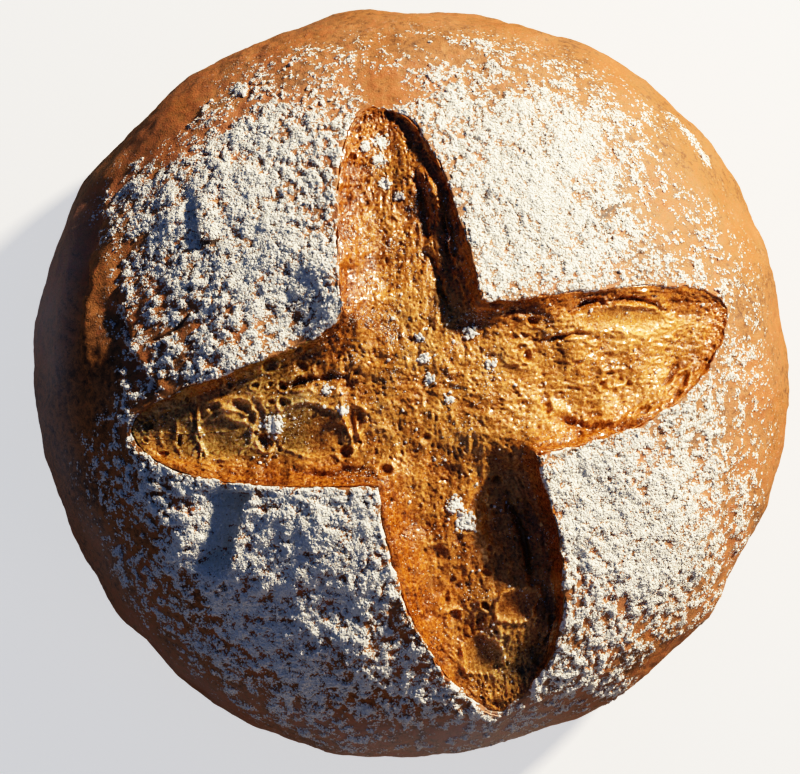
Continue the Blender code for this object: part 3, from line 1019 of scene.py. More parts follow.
def torn_steps(x, y):
    """Fall of the skin past the torn lines: at once to the full drop, then slowly back to nothing."""
    total = np.zeros_like(x)
    ragged = layers(plane(x, y), (0.7, 4.0, 58), (0.5, 1.8, 59))
    for drop, reach, line in TORN_LINES:
        line_x, line_y = np.array(line).T
        past = np.interp(y, line_y, line_x) - x + ragged
        fall = smooth_step(past / 1.2) * (1.0 - smooth_step((past - 0.5) / reach))
        rise = 0.2 * np.exp(-((past / 2.2) ** 2)) * (past < 0.0)
        ends = smooth_step((y - line_y[0]) / 5.0) * smooth_step((line_y[-1] - y) / 5.0)
        total += drop * (fall - rise) * ends
    return total


def crust_relief(points, flour, crack, distance):
    """Fine relief of the skin in millimetres: lumps, leathery folds, pimples, caked flour, dents, tears."""
    x, y, height = points.T
    share = rim_share(x, y)
    lumps = layers(points, (0.55, 15.0, 50), (0.28, 7.5, 51), (0.24, 3.6, 52))
    lumps += 1.1 * noise(points, 17.0, 60) * smooth_step((share - 0.86) / 0.12) * smooth_step(height / 12.0)
    folds = -0.22 * np.abs(noise(points, 5.2, 53)) - 0.14 * np.abs(noise(points, 2.3, 54))
    pimples = 0.08 * noise(points, 1.3, 55)
    rough = shady(x, y)
    clumps = (0.18 + 0.26 * rough) * noise(points, 2.9, 56) + (0.16 + 0.10 * rough) * noise(points, 1.4, 57)
    clumps = clumps * (1.0 - 0.6 * smooth_step((share - 0.86) / 0.08))
    caked = smooth_step((flour - 0.35) / 0.35) * (0.30 + clumps) + 0.40 * (flour.clip(0.1, 1.5) - 0.1)
    torn = torn_steps(x, y) * smooth_step((distance - TORN_FROM) / TORN_OVER)
    return lumps + folds + pimples + caked - dents(x, y) - torn - 0.7 * crack


print("dents:", len(DENTS), "cracks:", len(CRACKS), "torn lines:", len(TORN_LINES))

# %% [markdown]
# ## The crust's grid
#
# The crust is one skin, from under the crumb, up and over the cut edge, down the dome and round the
# side to the flat base. Rings of points follow the cross outline near the cut and turn into circles
# towards the widest ring. A grid of squares would cut the ragged edge into stairs, and rings don't.

# %% Crust grid
PER_SIDE = 124
COLUMNS = PER_SIDE * len(SIDES)
CRUST_RINGS = 92
SHOULDER_RINGS = 98
SKIRT_RINGS = 26
BASE_RINGS = 8
BASE_RADIUS = 70.0
EDGE_WAVES = 11
EDGE_WAVE_HEIGHT = 0.7
RAGGED = 0.42
# The cut edge of the crust, from its hidden underside to its top: out from the outline, and down
EDGE_RINGS = ((2.4, 6.0), (0.9, 2.2), (0.05, 1.4), (-0.08, 0.8), (0.06, 0.25), (0.42, 0.0))
FIRST_OUT = 0.9
# Two rings under the crumb: share of the way from the middle of the cross to the outline, and depth
HIDDEN_SHARES = (0.4, 0.85)
HIDDEN_DEPTH = 5.0


def reach_of_rim(directions):
    """Distance from the middle of the cross to the widest ring along each direction."""
    reach = np.full(len(directions), RIM_RADIUS)
    for _ in range(30):
        x, y = (CROSS_MIDDLE + directions * reach[:, None]).T
        reach = reach + rim_radius(np.arctan2(y, x)) - np.hypot(x, y)
    return reach


outline = cut_outline(PER_SIDE)
tangent = np.roll(outline, -1, axis=0) - np.roll(outline, 1, axis=0)
tangent /= np.hypot(*tangent.T)[:, None]
outward = np.column_stack([tangent[:, 1], -tangent[:, 0]])
along_edge = plane(np.arange(COLUMNS) * outline_length / COLUMNS, np.zeros(COLUMNS))
ragged = layers(along_edge, (RAGGED, 3.1, 61), (0.6 * RAGGED, 1.3, 62))
spokes = outline - CROSS_MIDDLE
cut_reach = np.hypot(*spokes.T)
spokes /= cut_reach[:, None]
rim_reach = reach_of_rim(spokes)


def hidden_rings():
    """Rings under the crumb, which close the skin into a body."""
    rings = []
    for share in HIDDEN_SHARES:
        flat_ring = CROSS_MIDDLE + spokes * (cut_reach * share)[:, None]
        rings.append(np.column_stack([flat_ring, dome(*flat_ring.T) - CRUMB_DEPTH - HIDDEN_DEPTH]))
    return rings


def edge_rings():
    """The rounded cut edge: each ring is a step out from the outline and a step down."""
    rings = []
    for out, drop in EDGE_RINGS:
        flat_ring = outline + outward * (out + ragged)[:, None]
        x, y = flat_ring.T
        distance = np.full(COLUMNS, max(out, 0.0))
        rings.append(np.column_stack([flat_ring, crust_height(x, y, distance) - drop]))
    return rings


def dome_rings(count):
    """From the cut to the widest ring: the ring's place is R * sin(angle), the angle evenly spread.

    Near the cut the rings keep square to the outline, further out they run along the spokes.
    """
    first_angle = np.arcsin(np.clip((cut_reach + FIRST_OUT) / rim_reach, 0.0, 0.999))
    rings = []
    for ring in range(count):
        share = (ring / (count - 1)) ** 1.12
        angle = first_angle + (math.pi / 2.0 - first_angle) * share
        flat_ring = CROSS_MIDDLE + spokes * (rim_reach * np.sin(angle))[:, None]
        rings.append(flat_ring + outward * (ragged * math.exp(-ring / 2.0))[:, None])
    flat_rings = np.concatenate(rings)
    x, y = flat_rings.T
    distance, _, _ = nearest_edge(x, y)
    height = crust_height(x, y, distance)
    height[-COLUMNS:] = RIM_HEIGHT
    return np.column_stack([x, y, height]).reshape(count, COLUMNS, 3), distance


def skirt_rings(rim):
    """Below the widest ring the side turns in along a quarter ellipse to the flat base."""
    radius = np.hypot(rim[:, 0], rim[:, 1])
    wave = np.sin(EDGE_WAVES * np.arctan2(rim[:, 1], rim[:, 0]))
    base = BASE_RADIUS + EDGE_WAVE_HEIGHT * wave * 2.0
    rings = []
    for ring in range(1, SKIRT_RINGS + 1):
        turn = ring / SKIRT_RINGS * math.pi / 2.0
        reach = base + (radius - base) * math.cos(turn) + EDGE_WAVE_HEIGHT * wave * math.sin(2.0 * turn)
        flat_ring = rim[:, :2] / radius[:, None] * reach[:, None]
        height = np.full(COLUMNS, RIM_HEIGHT * (1.0 - math.sin(turn)))
        rings.append(np.column_stack([flat_ring, height]))
    for ring in range(1, BASE_RINGS):
        rings.append(rings[SKIRT_RINGS - 1] * (1.0 - (ring / BASE_RINGS) ** 1.5))
    return rings


def ring_quads(first, last):
    """Faces between neighbouring rings from the first ring to the last, joined round."""
    index = np.arange(first * COLUMNS, (last + 1) * COLUMNS).reshape(-1, COLUMNS)
    onward = np.roll(index, -1, axis=1)
    quads = np.stack([index[:-1], index[1:], onward[1:], onward[:-1]], axis=-1)
    return quads.reshape(-1, 4)


def pole_fan(ring, pole, flip):
    """Triangles from one ring to its pole."""
    index = ring * COLUMNS + np.arange(COLUMNS)
    fan = np.stack([np.full(COLUMNS, pole), index, np.roll(index, -1)], axis=-1)
    return fan[:, ::-1] if flip else fan


print("columns:", COLUMNS, "rings:", CRUST_RINGS + SHOULDER_RINGS + SKIRT_RINGS + BASE_RINGS)

# %% [markdown]
# ## The crust's pieces
#
# Flour, haze and browning are worked out for each point of the smooth skin, and then the relief is
# pushed out along its normals. The haze is a thin pale film of flour; it is also made paler on the side
# that faces the lamp and thicker on the shaded low rim, which it lightens, and that part is painted
# light. The skin is written as three pieces, because one would be heavier than a piece may be. They
# share their border points and normals, so no seam shows.

# %% Crust pieces
# Values per point: flour is the cover, haze a pale film of flour with painted light, and the skin's
# darkening how much darker it is
# Where the skin is darker or paler: x, y, reach, change. The darker patch is painted shade on the shaded
# left rim; the paler one is painted light on the upper left rim, where the lamp only grazes.
SKIN_DARKER_OR_PALER = ((-88.0, -16.0, 26.0, 0.15), (-66.0, 68.0, 24.0, -0.12))
# How far the hidden pole lies below the top of the dome
POLE_DEPTH = 15.5
# Below the widest ring this stands for the distance from the cut
FAR = 99.0

top_rings, dome_distance = dome_rings(CRUST_RINGS + SHOULDER_RINGS)
inner_rings = hidden_rings() + edge_rings()
rings = np.concatenate([np.stack(inner_rings), top_rings, np.stack(skirt_rings(top_rings[-1]))])
hidden = len(inner_rings)
split = hidden + CRUST_RINGS
rim_ring = split + SHOULDER_RINGS - 1
last_ring = len(rings) - 1
form = rings.reshape(-1, 3)
all_quads = ring_quads(0, last_ring)
form_normals = point_normals(form, all_quads)

x, y, height = form.T
ring_number = np.repeat(np.arange(len(rings)), COLUMNS)
distance = np.concatenate([np.zeros(hidden * COLUMNS), dome_distance])
distance = np.append(distance, np.full(len(form) - len(distance), FAR))
on_top = (ring_number >= hidden - 2) & (ring_number <= rim_ring)
cover = np.where(on_top, flour_cover(x, y, distance), 0.0)
streak, _ = named_tears(x, y, STREAKS)
crack, _ = named_tears(x, y, CRACKS)
flour = clumped(form, cover + streak * on_top) - 2.0 * crack
share = rim_share(x, y)
# The haze is paler on the side that faces the lamp and thicker on the shaded low rim, which it lightens:
# painted light over a real thin film of flour.
sunny = 0.5 + (0.7 * x + 0.7 * y) / LIGHT_TO_SHADE
shaded_low_rim = smooth_step((share - 0.84) / 0.10) * smooth_step((0.42 - sunny) / 0.3)
turn = np.arctan2(y, x)
rim_painted_light = 1.4 * side_bell(turn, 290.0, 30.0) + 1.3 * side_bell(turn, 164.0, 26.0)
haze = 0.01 + 0.02 * smooth_step(sunny) + 0.015 * noise(form, 9.0, 45)
haze += 0.08 * smooth_step((flour - 0.2) / 0.8) + 0.12 * smooth_step(sunny) * cover
haze += shaded_low_rim * (0.10 + 0.22 * rim_painted_light + 0.06 * noise(form, 14.0, 46))
baked = 0.9 * crack + bells(x, y, SKIN_DARKER_OR_PALER)
relief = crust_relief(form, flour, crack, distance)
relief *= smooth_step((ring_number - hidden + 2.0) / 4.0) * smooth_step(height / 4.0)
skin = form + form_normals * relief[:, None]
skin_normals = point_normals(skin, all_quads)

poles = np.array([[*CROSS_MIDDLE, DOME_HEIGHT - POLE_DEPTH], [0.0, 0.0, 0.0]])
skin = np.vstack([skin, poles])
skin_normals = np.vstack([skin_normals, [[0.0, 0.0, 1.0], [0.0, 0.0, -1.0]]])
skin_values = {"flour": flour, "haze": haze.clip(0.0, 1.0), "baked": baked}
skin_values = {key: np.append(value, [0.0, 0.0]) for key, value in skin_values.items()}
top_pole = len(form)
PARTS_OF_SKIN = (
    ("crust", 0, split, [pole_fan(0, top_pole, False)]),
    ("shoulder", split, rim_ring, []),
    ("underside", rim_ring, last_ring, [pole_fan(last_ring, top_pole + 1, True)]),
)
crust_pieces = []
for name, first, last, ends in PARTS_OF_SKIN:
    faces = [ring_quads(first, last), *ends]
    piece = mesh_piece(name, skin, faces, skin_values, skin_normals)
    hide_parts("loaf")
    crust_pieces.append(piece)

# %% [markdown]
# ## Loose flour
#
# Flour that was sieved over the dough stays on the crust as single grains, small lumps and dust. A
# painted white patch would look flat in low light, where each lump throws its own shadow, so the
# lumps are real: tens of thousands of small many-sided bodies, lying where the cover is thick.

# %% Grain shapes
GOLDEN = (1.0 + math.sqrt(5.0)) / 2.0
EIGHT_POINTS = np.array([(1, 0, 0), (0, 1, 0), (-1, 0, 0), (0, -1, 0), (0, 0, 1), (0, 0, -1)], float)
EIGHT_FACES = [(0, 1, 4), (1, 2, 4), (2, 3, 4), (3, 0, 4), (1, 0, 5), (2, 1, 5), (3, 2, 5), (0, 3, 5)]


def twenty_sided():
    """Points and faces of a regular body of twenty triangles, found from its shortest edges."""
    corners = []
    for a in (-1.0, 1.0):
        for b in (-GOLDEN, GOLDEN):
            corners += [(0.0, a, b), (a, b, 0.0), (b, 0.0, a)]
    corners = np.array(corners)
    corners /= np.linalg.norm(corners[0])
    faces = []
    gaps = np.linalg.norm(corners[:, None] - corners[None], axis=-1)
    near = gaps < 1.1 * gaps[gaps > 0.1].min()
    for i in range(12):
        for j in range(i + 1, 12):
            for k in range(j + 1, 12):
                if near[i, j] and near[j, k] and near[i, k]:
                    out = np.dot(np.cross(corners[j] - corners[i], corners[k] - corners[i]), corners[i])
                    faces.append((i, j, k) if out > 0.0 else (i, k, j))
    return corners, faces


def random_turns(count, dice):
    """Random rotation matrices, from random unit quaternions."""
    four = dice.normal(size=(count, 4))
    w, x, y, z = four.T / np.linalg.norm(four, axis=1)
    rows = [
        [1 - 2 * (y * y + z * z), 2 * (x * y - z * w), 2 * (x * z + y * w)],
        [2 * (x * y + z * w), 1 - 2 * (x * x + z * z), 2 * (y * z - x * w)],
        [2 * (x * z - y * w), 2 * (y * z + x * w), 1 - 2 * (x * x + y * y)],
    ]
    return np.moveaxis(np.array(rows), -1, 0)


def settle(points, normals, quads, weight, count, dice):
    """Random places on a surface, as likely as area times weight, with their normals."""
    a, b, c, d = (points[quads[:, k]] for k in range(4))
    area = 0.5 * np.linalg.norm(np.cross(c - a, d - b), axis=1)
    chance = area * np.clip(weight[quads].mean(axis=1), 0.0, None)
    pick = dice.choice(len(quads), size=count, p=chance / chance.sum())
    u, v = dice.random((2, count, 1))
    shares = ((1 - u) * (1 - v), u * (1 - v), u * v, (1 - u) * v)
    place = sum(share * points[quads[pick, k]] for k, share in enumerate(shares))
    normal = sum(share * normals[quads[pick, k]] for k, share in enumerate(shares))
    return place, normal / np.linalg.norm(normal, axis=1)[:, None]


def grains(shape, places, normals, radius, dice, sunk=0.30, flat=0.6):
    """Bodies of one shape, each dented, stretched and turned at random, then laid on the surface.

    A corner is at radius * (its direction, each corner in or out by a quarter), squeezed along the
    surface normal, and the body sits with part of its radius under the surface.
    """
    corners, faces = shape
    count = len(places)
    body = corners[None] * (0.78 + 0.44 * dice.random((count, len(corners), 1)))
    body = body * (0.75 + 0.5 * dice.random((count, 1, 3)))
    body = np.einsum("nij,nkj->nki", random_turns(count, dice), body)
    along = np.einsum("nkj,nj->nk", body, normals)
    body = body - (1.0 - flat) * along[..., None] * normals[:, None, :]
    body = body * radius[:, None, None]
    lifted = places + normals * (radius * (flat - sunk))[:, None]
    points = (body + lifted[:, None, :]).reshape(-1, 3)
    index = np.array(faces)[None] + (np.arange(count) * len(corners))[:, None, None]
    return points, index.reshape(-1, 3)


EIGHT = (EIGHT_POINTS, EIGHT_FACES)
TWENTY = twenty_sided()
print("faces of a grain and of a lump:", len(EIGHT_FACES), len(TWENTY[1]))

# %% [markdown]
# ## Flour on the crust
#
# Sieved flour is mostly dust with a few lumps, so there are three kinds of small grain and one of
# larger lumps, each made as one piece. Their places are drawn at random, more of them where the cover
# is thick, and none on the bare side below.

# %% Flour on the crust
floured = smooth_step((flour - 0.22) / 0.36) * (0.5 + flour.clip(0.0, 1.2))
floured = np.append(floured * smooth_step((1.0 - share) / 0.05), [0.0, 0.0])
top_quads = ring_quads(hidden, rim_ring)
# Kinds of grain: name, shape, number, smallest and largest radius in millimetres, seed
KINDS = (
    ("flour_dust", EIGHT, 24500, 0.09, 0.20, 71),
    ("flour_grains", EIGHT, 24500, 0.15, 0.30, 72),
    ("flour_specks", EIGHT, 24500, 0.20, 0.34, 74),
    ("flour_lumps", TWENTY, 9500, 0.22, 0.52, 73),
)
flour_pieces = []
for name, shape, count, small, large, seed in KINDS:
    dice = np.random.default_rng(seed)
    places, normals = settle(skin, skin_normals, top_quads, floured, count, dice)
    radius = small + (large - small) * dice.random(count) ** 1.8
    points, faces = grains(shape, places, normals, radius, dice)
    flour_pieces.append(mesh_piece(name, points, [faces], None, smooth=False))

# %% [markdown]
# ## Flour and crumbs in the cross
#
# When the crust tore, a little of its flour fell onto the fresh crumb in small piles, with dust round
# them. The piles are listed one by one and the dust is scattered, thicker near the middle. They use the
# same grains as the crust, laid on the crumb's own relief.

# %% Flour and crumbs in the cross
# Piles of flour that fell into the cross: x, y, spread, number of grains
PILES = (
    (-35.4, -16.8, 1.6, 90),
    (13.6, -41.7, 1.7, 80),
    (11.0, -37.4, 1.3, 50),
    (-7.9, 57.2, 1.2, 45),
    (-8.4, 52.3, 1.0, 40),
    (-12.4, 55.5, 0.8, 30),
    (-7.3, 45.9, 1.0, 35),
    (-3.4, 42.5, 0.8, 30),
    (3.2, -0.4, 0.9, 34),
    (4.5, -5.5, 0.9, 34),
    (14.8, 6.2, 1.3, 40),
    (9.6, -10.6, 0.8, 24),
    (2.0, 5.0, 0.8, 18),
    (20.0, -1.5, 1.0, 20),
    (-22.0, -8.0, 1.0, 24),
    (-17.5, -13.5, 1.0, 20),
)
# Where loose grains and dust lie thicker round the piles: x, y, reach
THICK_GRAINS = (2.0, 4.0, 26.0)
THICK_DUST = (0.0, 20.0, 30.0)

dice = np.random.default_rng(81)
x, y = flat.T
in_cut = smooth_step(nearest_edge(x, y)[0] / 2.0) * is_inside(x, y)
piles = sum(number / spread**2 * bell(x, y, *place, spread) for *place, spread, number in PILES)
loose = piles + 0.02 * in_cut * (1.0 + 2.0 * bell(x, y, *THICK_GRAINS))
dusty = in_cut * (0.5 + 2.0 * bell(x, y, *THICK_DUST)) * np.exp(2.5 * noise(plane(x, y), 5.0, 82))
# Scattered kinds: name, shape, weight over the crumb, number, smallest radius, range, power
SCATTERED = (
    ("flour_in_cross", TWENTY, loose, 1900, 0.14, 0.42, 2.2),
    ("dust_in_cross", EIGHT, dusty, 4500, 0.07, 0.16, 2.0),
)
for name, shape, weight, count, small, more, power in SCATTERED:
    places, normals = settle(crumb_points, crumb_normals, crumb_quads, weight, count, dice)
    radius = small + more * dice.random(count) ** power
    points, faces = grains(shape, places, normals, radius, dice, sunk=0.0)
    flour_pieces.append(mesh_piece(name, points, [faces], None, smooth=False))

# %% [markdown]
# ## Colours and nodes
#
# A material is a small tree of nodes. One function adds a node with its settings and links, so that
# each step of a finish is one line that can be read aloud. Colours are given as they look on a screen
# and turned into the straight values that the renderer counts with.

# %% Colours and nodes


def linear(hex_colour):
    """An sRGB hex colour as linear red, green, blue and full alpha."""
    channels = [int(hex_colour[k : k + 2], 16) / 255.0 for k in (0, 2, 4)]
    straight = [c / 12.92 if c <= 0.04045 else ((c + 0.055) / 1.055) ** 2.4 for c in channels]
    return (*straight, 1.0)


def add_node(tree, kind, settings=None, links=None):
    """Add one node. Settings are properties, input values or a ramp's stops.

    Links bring a node's first output, or an output that is given itself, to the new node's inputs.
    """
    node = tree.nodes.new(kind)
    for key, value in (settings or {}).items():
        if key == "stops":
            ramp = node.color_ramp.elements
            while len(ramp) < len(value):
                ramp.new(0.5)
            for element, (place, colour) in zip(ramp, value):
                element.position = place
                element.color = linear(colour)
        elif isinstance(key, str) and hasattr(node, key):
            setattr(node, key, value)
        else:
            node.inputs[key].default_value = value
    for key, source in (links or {}).items():
        if isinstance(source, bpy.types.Node):
            source = source.outputs[0]
        tree.links.new(source, node.inputs[key])
    return node


def new_material(name, settings=None):
    """An empty material with an output and the shader that the finish is built on."""
    material = bpy.data.materials.new(name)
    material.use_nodes = True
    tree = material.node_tree
    tree.nodes.clear()
    shader = add_node(tree, "ShaderNodeBsdfPrincipled", settings)
    add_node(tree, "ShaderNodeOutputMaterial", links={"Surface": shader.outputs["BSDF"]})
    return material, tree, shader


print("a mid grey on the screen counts as", round(linear("808080")[0], 3))

# %% [markdown]
# ## The crust's finish
#
# Baked crust is starch and sugar browned by the oven: matt, light orange brown, in patches of about
# 2 mm over slow changes of 16 mm. Dry flour on it is white and quite dull. It could be one painted
# picture, but here the browning comes from noise, and the flour from small granules that show
# wherever the cover of that point lets them.


# %% Crust material
def crust_material():
    """Oven-browned sorghum crust dusted with flour.

    Sieved flour is finer than 0.1 mm, which the picture can't show. Its granules are drawn 0.7 mm
    across, the size of the clots that catch the light.
    """
    material, tree, shader = new_material("browned sorghum crust, dusted")
    place = add_node(tree, "ShaderNodeTexCoord").outputs["Object"]
    flour, haze, baked = (
        add_node(tree, "ShaderNodeAttribute", {"attribute_name": name}).outputs["Fac"]
        for name in ("flour", "haze", "baked")
    )
    # Slow browning, patches of skin, fine grain and clots: size in millimetres, detail, roughness
    sizes = ((16.0, 3.0, 0.5), (1.9, 5.0, 0.62), (0.45, 2.0, 0.6), (0.95, 1.0, 0.5))
    slow, skin, fine, clots = (
        add_node(
            tree,
            "ShaderNodeTexNoise",
            {"Scale": 1.0 / (size * MM), "Detail": detail, "Roughness": rough},
            {"Vector": place},
        )
        for size, detail, rough in sizes
    )
    # Browning from dark to light: the sum of the noises, at most 1.9, less the skin's darkening, which
    # holds the cracks, painted shade on the left rim and painted light on the upper left rim
    most = 1.9
    browned = skin
    for part, source in ((0.55, slow), (0.35, fine)):
        browned = add_node(
            tree, "ShaderNodeMath", {"operation": "MULTIPLY_ADD", 1: part}, {0: source, 2: browned}
        )
    browned = add_node(tree, "ShaderNodeMath", {"operation": "SUBTRACT"}, {0: browned, 1: baked})
    browned = add_node(tree, "ShaderNodeMath", {"operation": "DIVIDE", 1: most}, {0: browned})
    stops = ((0.60, "4C2C10"), (0.77, "865426"), (0.90, "B0723A"), (1.07, "BC6E38"), (1.26, "CC7C46"))
    stops = [(at / most, colour) for at, colour in stops]
    bread = add_node(tree, "ShaderNodeValToRGB", {"stops": stops}, {"Fac": browned})
    # A granule shows where its own random height, added to the point's flour, passes a half
    granule = add_node(tree, "ShaderNodeTexVoronoi", {"Scale": 1.0 / (0.68 * MM)}, {"Vector": place})
    away = granule.outputs["Distance"]
    above = add_node(tree, "ShaderNodeMath", {"operation": "ADD", 1: -0.93}, {0: flour})
    for part, source in ((0.7, fine), (1.2, clots), (1.1, granule.outputs["Color"]), (-1.1, away)):
        above = add_node(
            tree, "ShaderNodeMath", {"operation": "MULTIPLY_ADD", 1: part}, {0: source, 2: above}
        )
    mask = add_node(tree, "ShaderNodeMapRange", {"From Min": 0.40, "From Max": 0.60}, {"Value": above})
    present = add_node(tree, "ShaderNodeMapRange", {"From Min": 0.0, "From Max": 0.14}, {"Value": flour})
    mask = add_node(tree, "ShaderNodeMath", {"operation": "MULTIPLY"}, {0: mask, 1: present})
    cover = add_node(tree, "ShaderNodeMath", {"operation": "MAXIMUM"}, {0: mask, 1: haze})
    creamy = ((0.35, "EEE7D6"), (0.6, "FDFAF2"))
    white = add_node(tree, "ShaderNodeValToRGB", {"stops": creamy}, {"Fac": fine})
    colour = add_node(tree, "ShaderNodeMix", {"data_type": "RGBA"}, {0: cover, 6: bread, 7: white})
    tree.links.new(colour.outputs[2], shader.inputs["Base Color"])
    rough = add_node(tree, "ShaderNodeMapRange", {"To Min": 0.55, "To Max": 0.95}, {"Value": cover})
    tree.links.new(rough.outputs[0], shader.inputs["Roughness"])
    # The granules stand up as small mounds, over the fine grain and the patches of skin
    mound = add_node(tree, "ShaderNodeMath", {"operation": "SUBTRACT", 0: 1.1}, {1: away})
    piled = add_node(tree, "ShaderNodeMath", {"operation": "MULTIPLY"}, {0: mound, 1: mask})
    for source in (fine, skin):
        piled = add_node(
            tree, "ShaderNodeMath", {"operation": "MULTIPLY_ADD", 1: 0.8}, {0: source, 2: piled}
        )
    bump = add_node(tree, "ShaderNodeBump", {"Strength": 0.9, "Distance": 0.30 * MM}, {"Height": piled})
    tree.links.new(bump.outputs[0], shader.inputs["Normal"])
    return material


# %% [markdown]
# ## The crumb's finish
#
# Sorghum crumb is gelled starch, golden, a little see-through and moist enough to glint. Near the cut
# it is toasted orange, and the films of the large bubbles look olive where the light passes through.
# Three ramps of the same shade make the three kinds, and the values kept per point mix them. Light
# that wanders under the surface and a thin coat give the gel its depth and its glints.


# %% Crumb material
def crumb_material():
    """Toasted gluten-free crumb: gelled starch, so a little glossy."""
    coat_and_depth = {
        "Coat Weight": 0.5,
        "Coat Roughness": 0.12,
        "Subsurface Radius": (1.0, 0.45, 0.15),
        "Subsurface Scale": 2.6 * MM,
    }
    material, tree, shader = new_material("toasted sorghum crumb", coat_and_depth)
    place = add_node(tree, "ShaderNodeTexCoord").outputs["Object"]
    shade, toast, glass = (
        add_node(tree, "ShaderNodeAttribute", {"attribute_name": name}).outputs["Fac"]
        for name in ("shade", "toast", "glass")
    )
    # Fine pores of 0.7 mm, the smallest that the picture shows
    pores = {"Scale": 1.0 / (0.70 * MM), "Detail": 3.0, "Roughness": 0.62}
    fine = add_node(tree, "ShaderNodeTexNoise", pores, {"Vector": place})
    # The shade value holds painted shade in hollows, tears and steep walls, and painted highlight on ridges
    # and rims, over the crumb's own tone.
    shade = add_node(tree, "ShaderNodeMath", {"operation": "SUBTRACT", 1: 0.65}, {0: shade})
    shade = add_node(tree, "ShaderNodeMath", {"operation": "MULTIPLY_ADD", 1: 1.3}, {0: fine, 2: shade})
    places = (0.05, 0.30, 0.50, 0.70, 0.95)
    golden, orange, olive = (
        add_node(tree, "ShaderNodeValToRGB", {"stops": list(zip(places, colours))}, {"Fac": shade})
        for colours in (
            ("5A3010", "985820", "BC7A30", "D69446", "F2B870"),
            ("542808", "924E10", "BC6E20", "D68634", "F2AA58"),
            ("4C3010", "80561E", "AC7E3A", "CC9E5A", "EAC890"),
        )
    )
    bread = add_node(tree, "ShaderNodeMix", {"data_type": "RGBA"}, {0: toast, 6: golden, 7: orange})
    bread = bread.outputs[2]
    colour = add_node(tree, "ShaderNodeMix", {"data_type": "RGBA"}, {0: glass, 6: bread, 7: olive})
    tree.links.new(colour.outputs[2], shader.inputs["Base Color"])
    glints = {"From Min": 0.3, "From Max": 0.7, "To Min": 0.16, "To Max": 0.40}
    rough = add_node(tree, "ShaderNodeMapRange", glints, {"Value": fine})
    tree.links.new(rough.outputs[0], shader.inputs["Roughness"])
    gel = add_node(tree, "ShaderNodeMapRange", {"To Min": 0.15, "To Max": 0.55}, {"Value": glass})
    tree.links.new(gel.outputs[0], shader.inputs["Subsurface Weight"])
    bump = add_node(tree, "ShaderNodeBump", {"Strength": 0.9, "Distance": 0.34 * MM}, {"Height": fine})
    tree.links.new(bump.outputs[0], shader.inputs["Normal"])
    return material


# %% [markdown]
# ## The flour's finish
#
# Dry flour scatters all light and has no gloss, so its shader is almost plain: a creamy white that
# changes a little from grain to grain, and the greatest roughness.


# %% Flour material
def flour_material():
    """Dry sieved flour, matt and creamy white."""
    material, tree, shader = new_material("dry flour", {"Roughness": 0.95})
    place = add_node(tree, "ShaderNodeTexCoord").outputs["Object"]
    fine = add_node(tree, "ShaderNodeTexNoise", {"Scale": 1.0 / (0.6 * MM)}, {"Vector": place})
    creamy = ((0.35, "EDE6D6"), (0.6, "FCF9F1"))
    white = add_node(tree, "ShaderNodeValToRGB", {"stops": creamy}, {"Fac": fine})
    tree.links.new(white.outputs[0], shader.inputs["Base Color"])
    return material


for pieces, finish in (
    (crust_pieces, crust_material()),
    (crumb_pieces, crumb_material()),
    (flour_pieces, flour_material()),
):
    for piece in pieces:
        piece.data.materials.append(finish)
    print(finish.name, "is on", len(pieces), "pieces")

# %% [markdown]
# ## Floor
#
# The floor is a plain pale sheet. What the camera sees of it glows a little, so that it stays pale in
# low light. All other rays see a dull, darker sheet, since a bright one would light up the loaf's side.

# %% Floor
FLOOR_HALF = 2.0
floor_mesh = bpy.data.meshes.new("floor")
floor_corners = [(a * FLOOR_HALF, b * FLOOR_HALF, 0.0) for a, b in ((-1, -1), (1, -1), (1, 1), (-1, 1))]
floor_mesh.from_pydata(floor_corners, [], [(0, 1, 2, 3)])
floor = add_object("floor", floor_mesh)
painted = {
    "Base Color": linear("BEBCB8"),
    "Roughness": 0.8,
    "Emission Color": linear("FFFFFF"),
    "Emission Strength": 0.62,
}
floor_material, tree, shader = new_material("pale painted board", painted)
dim = add_node(tree, "ShaderNodeBsdfDiffuse", {"Color": linear("8C857C")})
seen = add_node(tree, "ShaderNodeLightPath").outputs["Is Camera Ray"]
both = add_node(tree, "ShaderNodeMixShader", None, {0: seen, 1: dim, 2: shader})
tree.links.new(both.outputs[0], tree.nodes["Material Output"].inputs["Surface"])
floor_mesh.materials.append(floor_material)
print("floor, m across:", 2.0 * FLOOR_HALF)

# %% [markdown]
# ## Light
#
# Low light from one side is what makes a floured crust worth looking at: it picks out each lump and
# throws the cut edge's shadow across the crumb. Three weaker lamps keep the shaded side readable, and
# the pale blue surroundings tint its flour. The camera sees a plain pale backdrop in their place.

# %% Light
# Lamps: name, azimuth and elevation in degrees, distance and size in metres, watts, colour
# In order: the low sun, faint cool light opposite, warm light off the board, a warm glow on the rim
LAMPS = (
    ("key", 39.0, 28.5, 1.6, 0.12, 53.0, "FFF4DC"),
    ("fill", 228.0, 16.0, 1.8, 1.6, 0.7, "DCE8FF"),
    ("bounce", 222.0, 7.0, 1.5, 0.35, 1.2, "FFE2B4"),
    ("side", 322.0, 12.0, 1.5, 0.5, 3.0, "FFDCA8"),
)
LAMP_AIM = Vector((0.0, 0.0, 0.06))


def area_light(name, azimuth, elevation, distance, size, power, colour):
    """A square lamp aimed at the loaf from a direction given in degrees."""
    lamp = bpy.data.lights.new(name, "AREA")
    lamp.size = size
    lamp.energy = power
    lamp.color = linear(colour)[:3]
    a = math.radians(azimuth)
    e = math.radians(elevation)
    away = Vector((math.cos(a) * math.cos(e), math.sin(a) * math.cos(e), math.sin(e)))
    light = add_object(name, lamp)
    light.location = LAMP_AIM + away * distance
    light.rotation_euler = (-away).to_track_quat("-Z", "Y").to_euler()


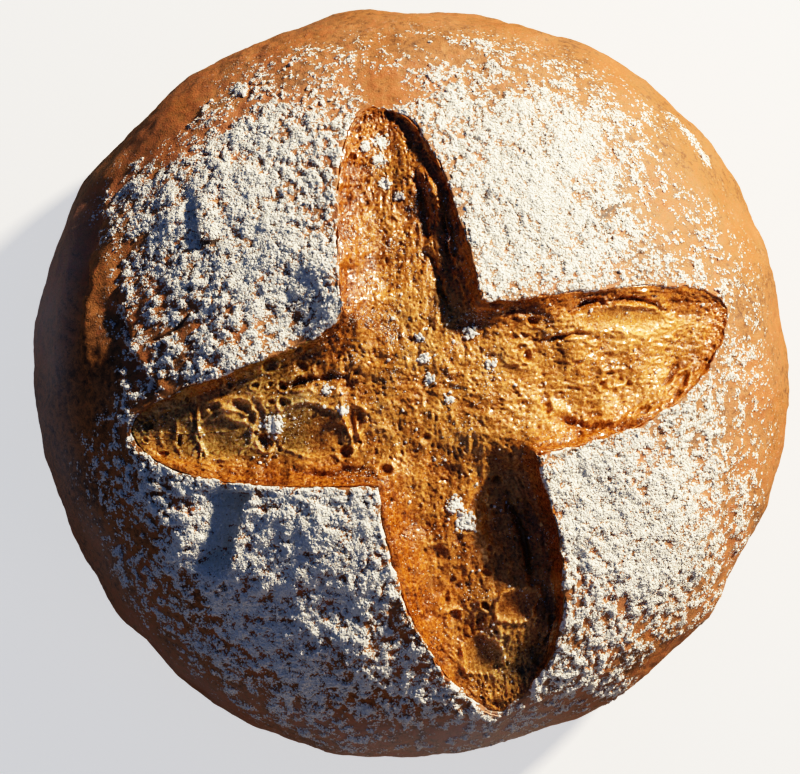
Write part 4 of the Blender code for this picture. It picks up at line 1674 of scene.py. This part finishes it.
for row in LAMPS:
    area_light(*row)
world = bpy.data.worlds.new("studio")
world.use_nodes = True
tree = world.node_tree
sky = tree.nodes["Background"]
sky.inputs["Color"].default_value = linear("86B2FF")
sky.inputs["Strength"].default_value = 0.175
backdrop = add_node(tree, "ShaderNodeBackground", {"Color": linear("EAE8E4"), "Strength": 0.8})
seen = add_node(tree, "ShaderNodeLightPath").outputs["Is Camera Ray"]
both = add_node(tree, "ShaderNodeMixShader", None, {0: seen, 1: sky, 2: backdrop})
tree.links.new(both.outputs[0], tree.nodes["World Output"].inputs["Surface"])
bpy.context.scene.world = world
print("lamps:", len(LAMPS))

# %% [markdown]
# ## Tones and camera
#
# A camera's own curve presses the darkest tones down and bends the brightest ones over before they
# burn out. The same curve is set on the view. The camera looks almost straight down from about arm's
# length, as the photograph does.

# %% Tones and camera
# Scene brightness to shown brightness: the dark tones are pressed down, the brightest bend over
SHOULDER = (
    (0.016, 0.0045),
    (0.03, 0.012),
    (0.05, 0.026),
    (0.08, 0.050),
    (0.13, 0.100),
    (0.2, 0.176),
    (0.3, 0.288),
    (0.6, 0.585),
    (0.8, 0.725),
    (1.0, 0.83),
    (1.25, 0.92),
    (1.5, 0.97),
)
SHOULDER_END = 2.0
view = bpy.context.scene.view_settings
view.view_transform = "Standard"
view.use_curve_mapping = True
view.curve_mapping.white_level = (SHOULDER_END, SHOULDER_END, SHOULDER_END)
for bright, shown in SHOULDER:
    view.curve_mapping.curves[3].points.new(bright / SHOULDER_END, shown)
view.curve_mapping.update()

CAMERA_ELEVATION = math.radians(85.0)
CAMERA_DISTANCE = 0.650
CAMERA_AIM = Vector((-0.00317, -0.00241, 0.028))
FOCAL_PIXELS = 2317.0
PHOTO_WIDTH = 800
camera_data = bpy.data.cameras.new("camera")
camera_data.sensor_width = 36.0
camera_data.lens = FOCAL_PIXELS / PHOTO_WIDTH * camera_data.sensor_width
camera = add_object("camera", camera_data)
back = Vector((0.0, -math.cos(CAMERA_ELEVATION), math.sin(CAMERA_ELEVATION)))
camera.location = CAMERA_AIM + back * CAMERA_DISTANCE
camera.rotation_euler = (math.pi / 2.0 - CAMERA_ELEVATION, 0.0, 0.0)
bpy.context.scene.camera = camera
print("lens, mm:", round(camera_data.lens, 1))
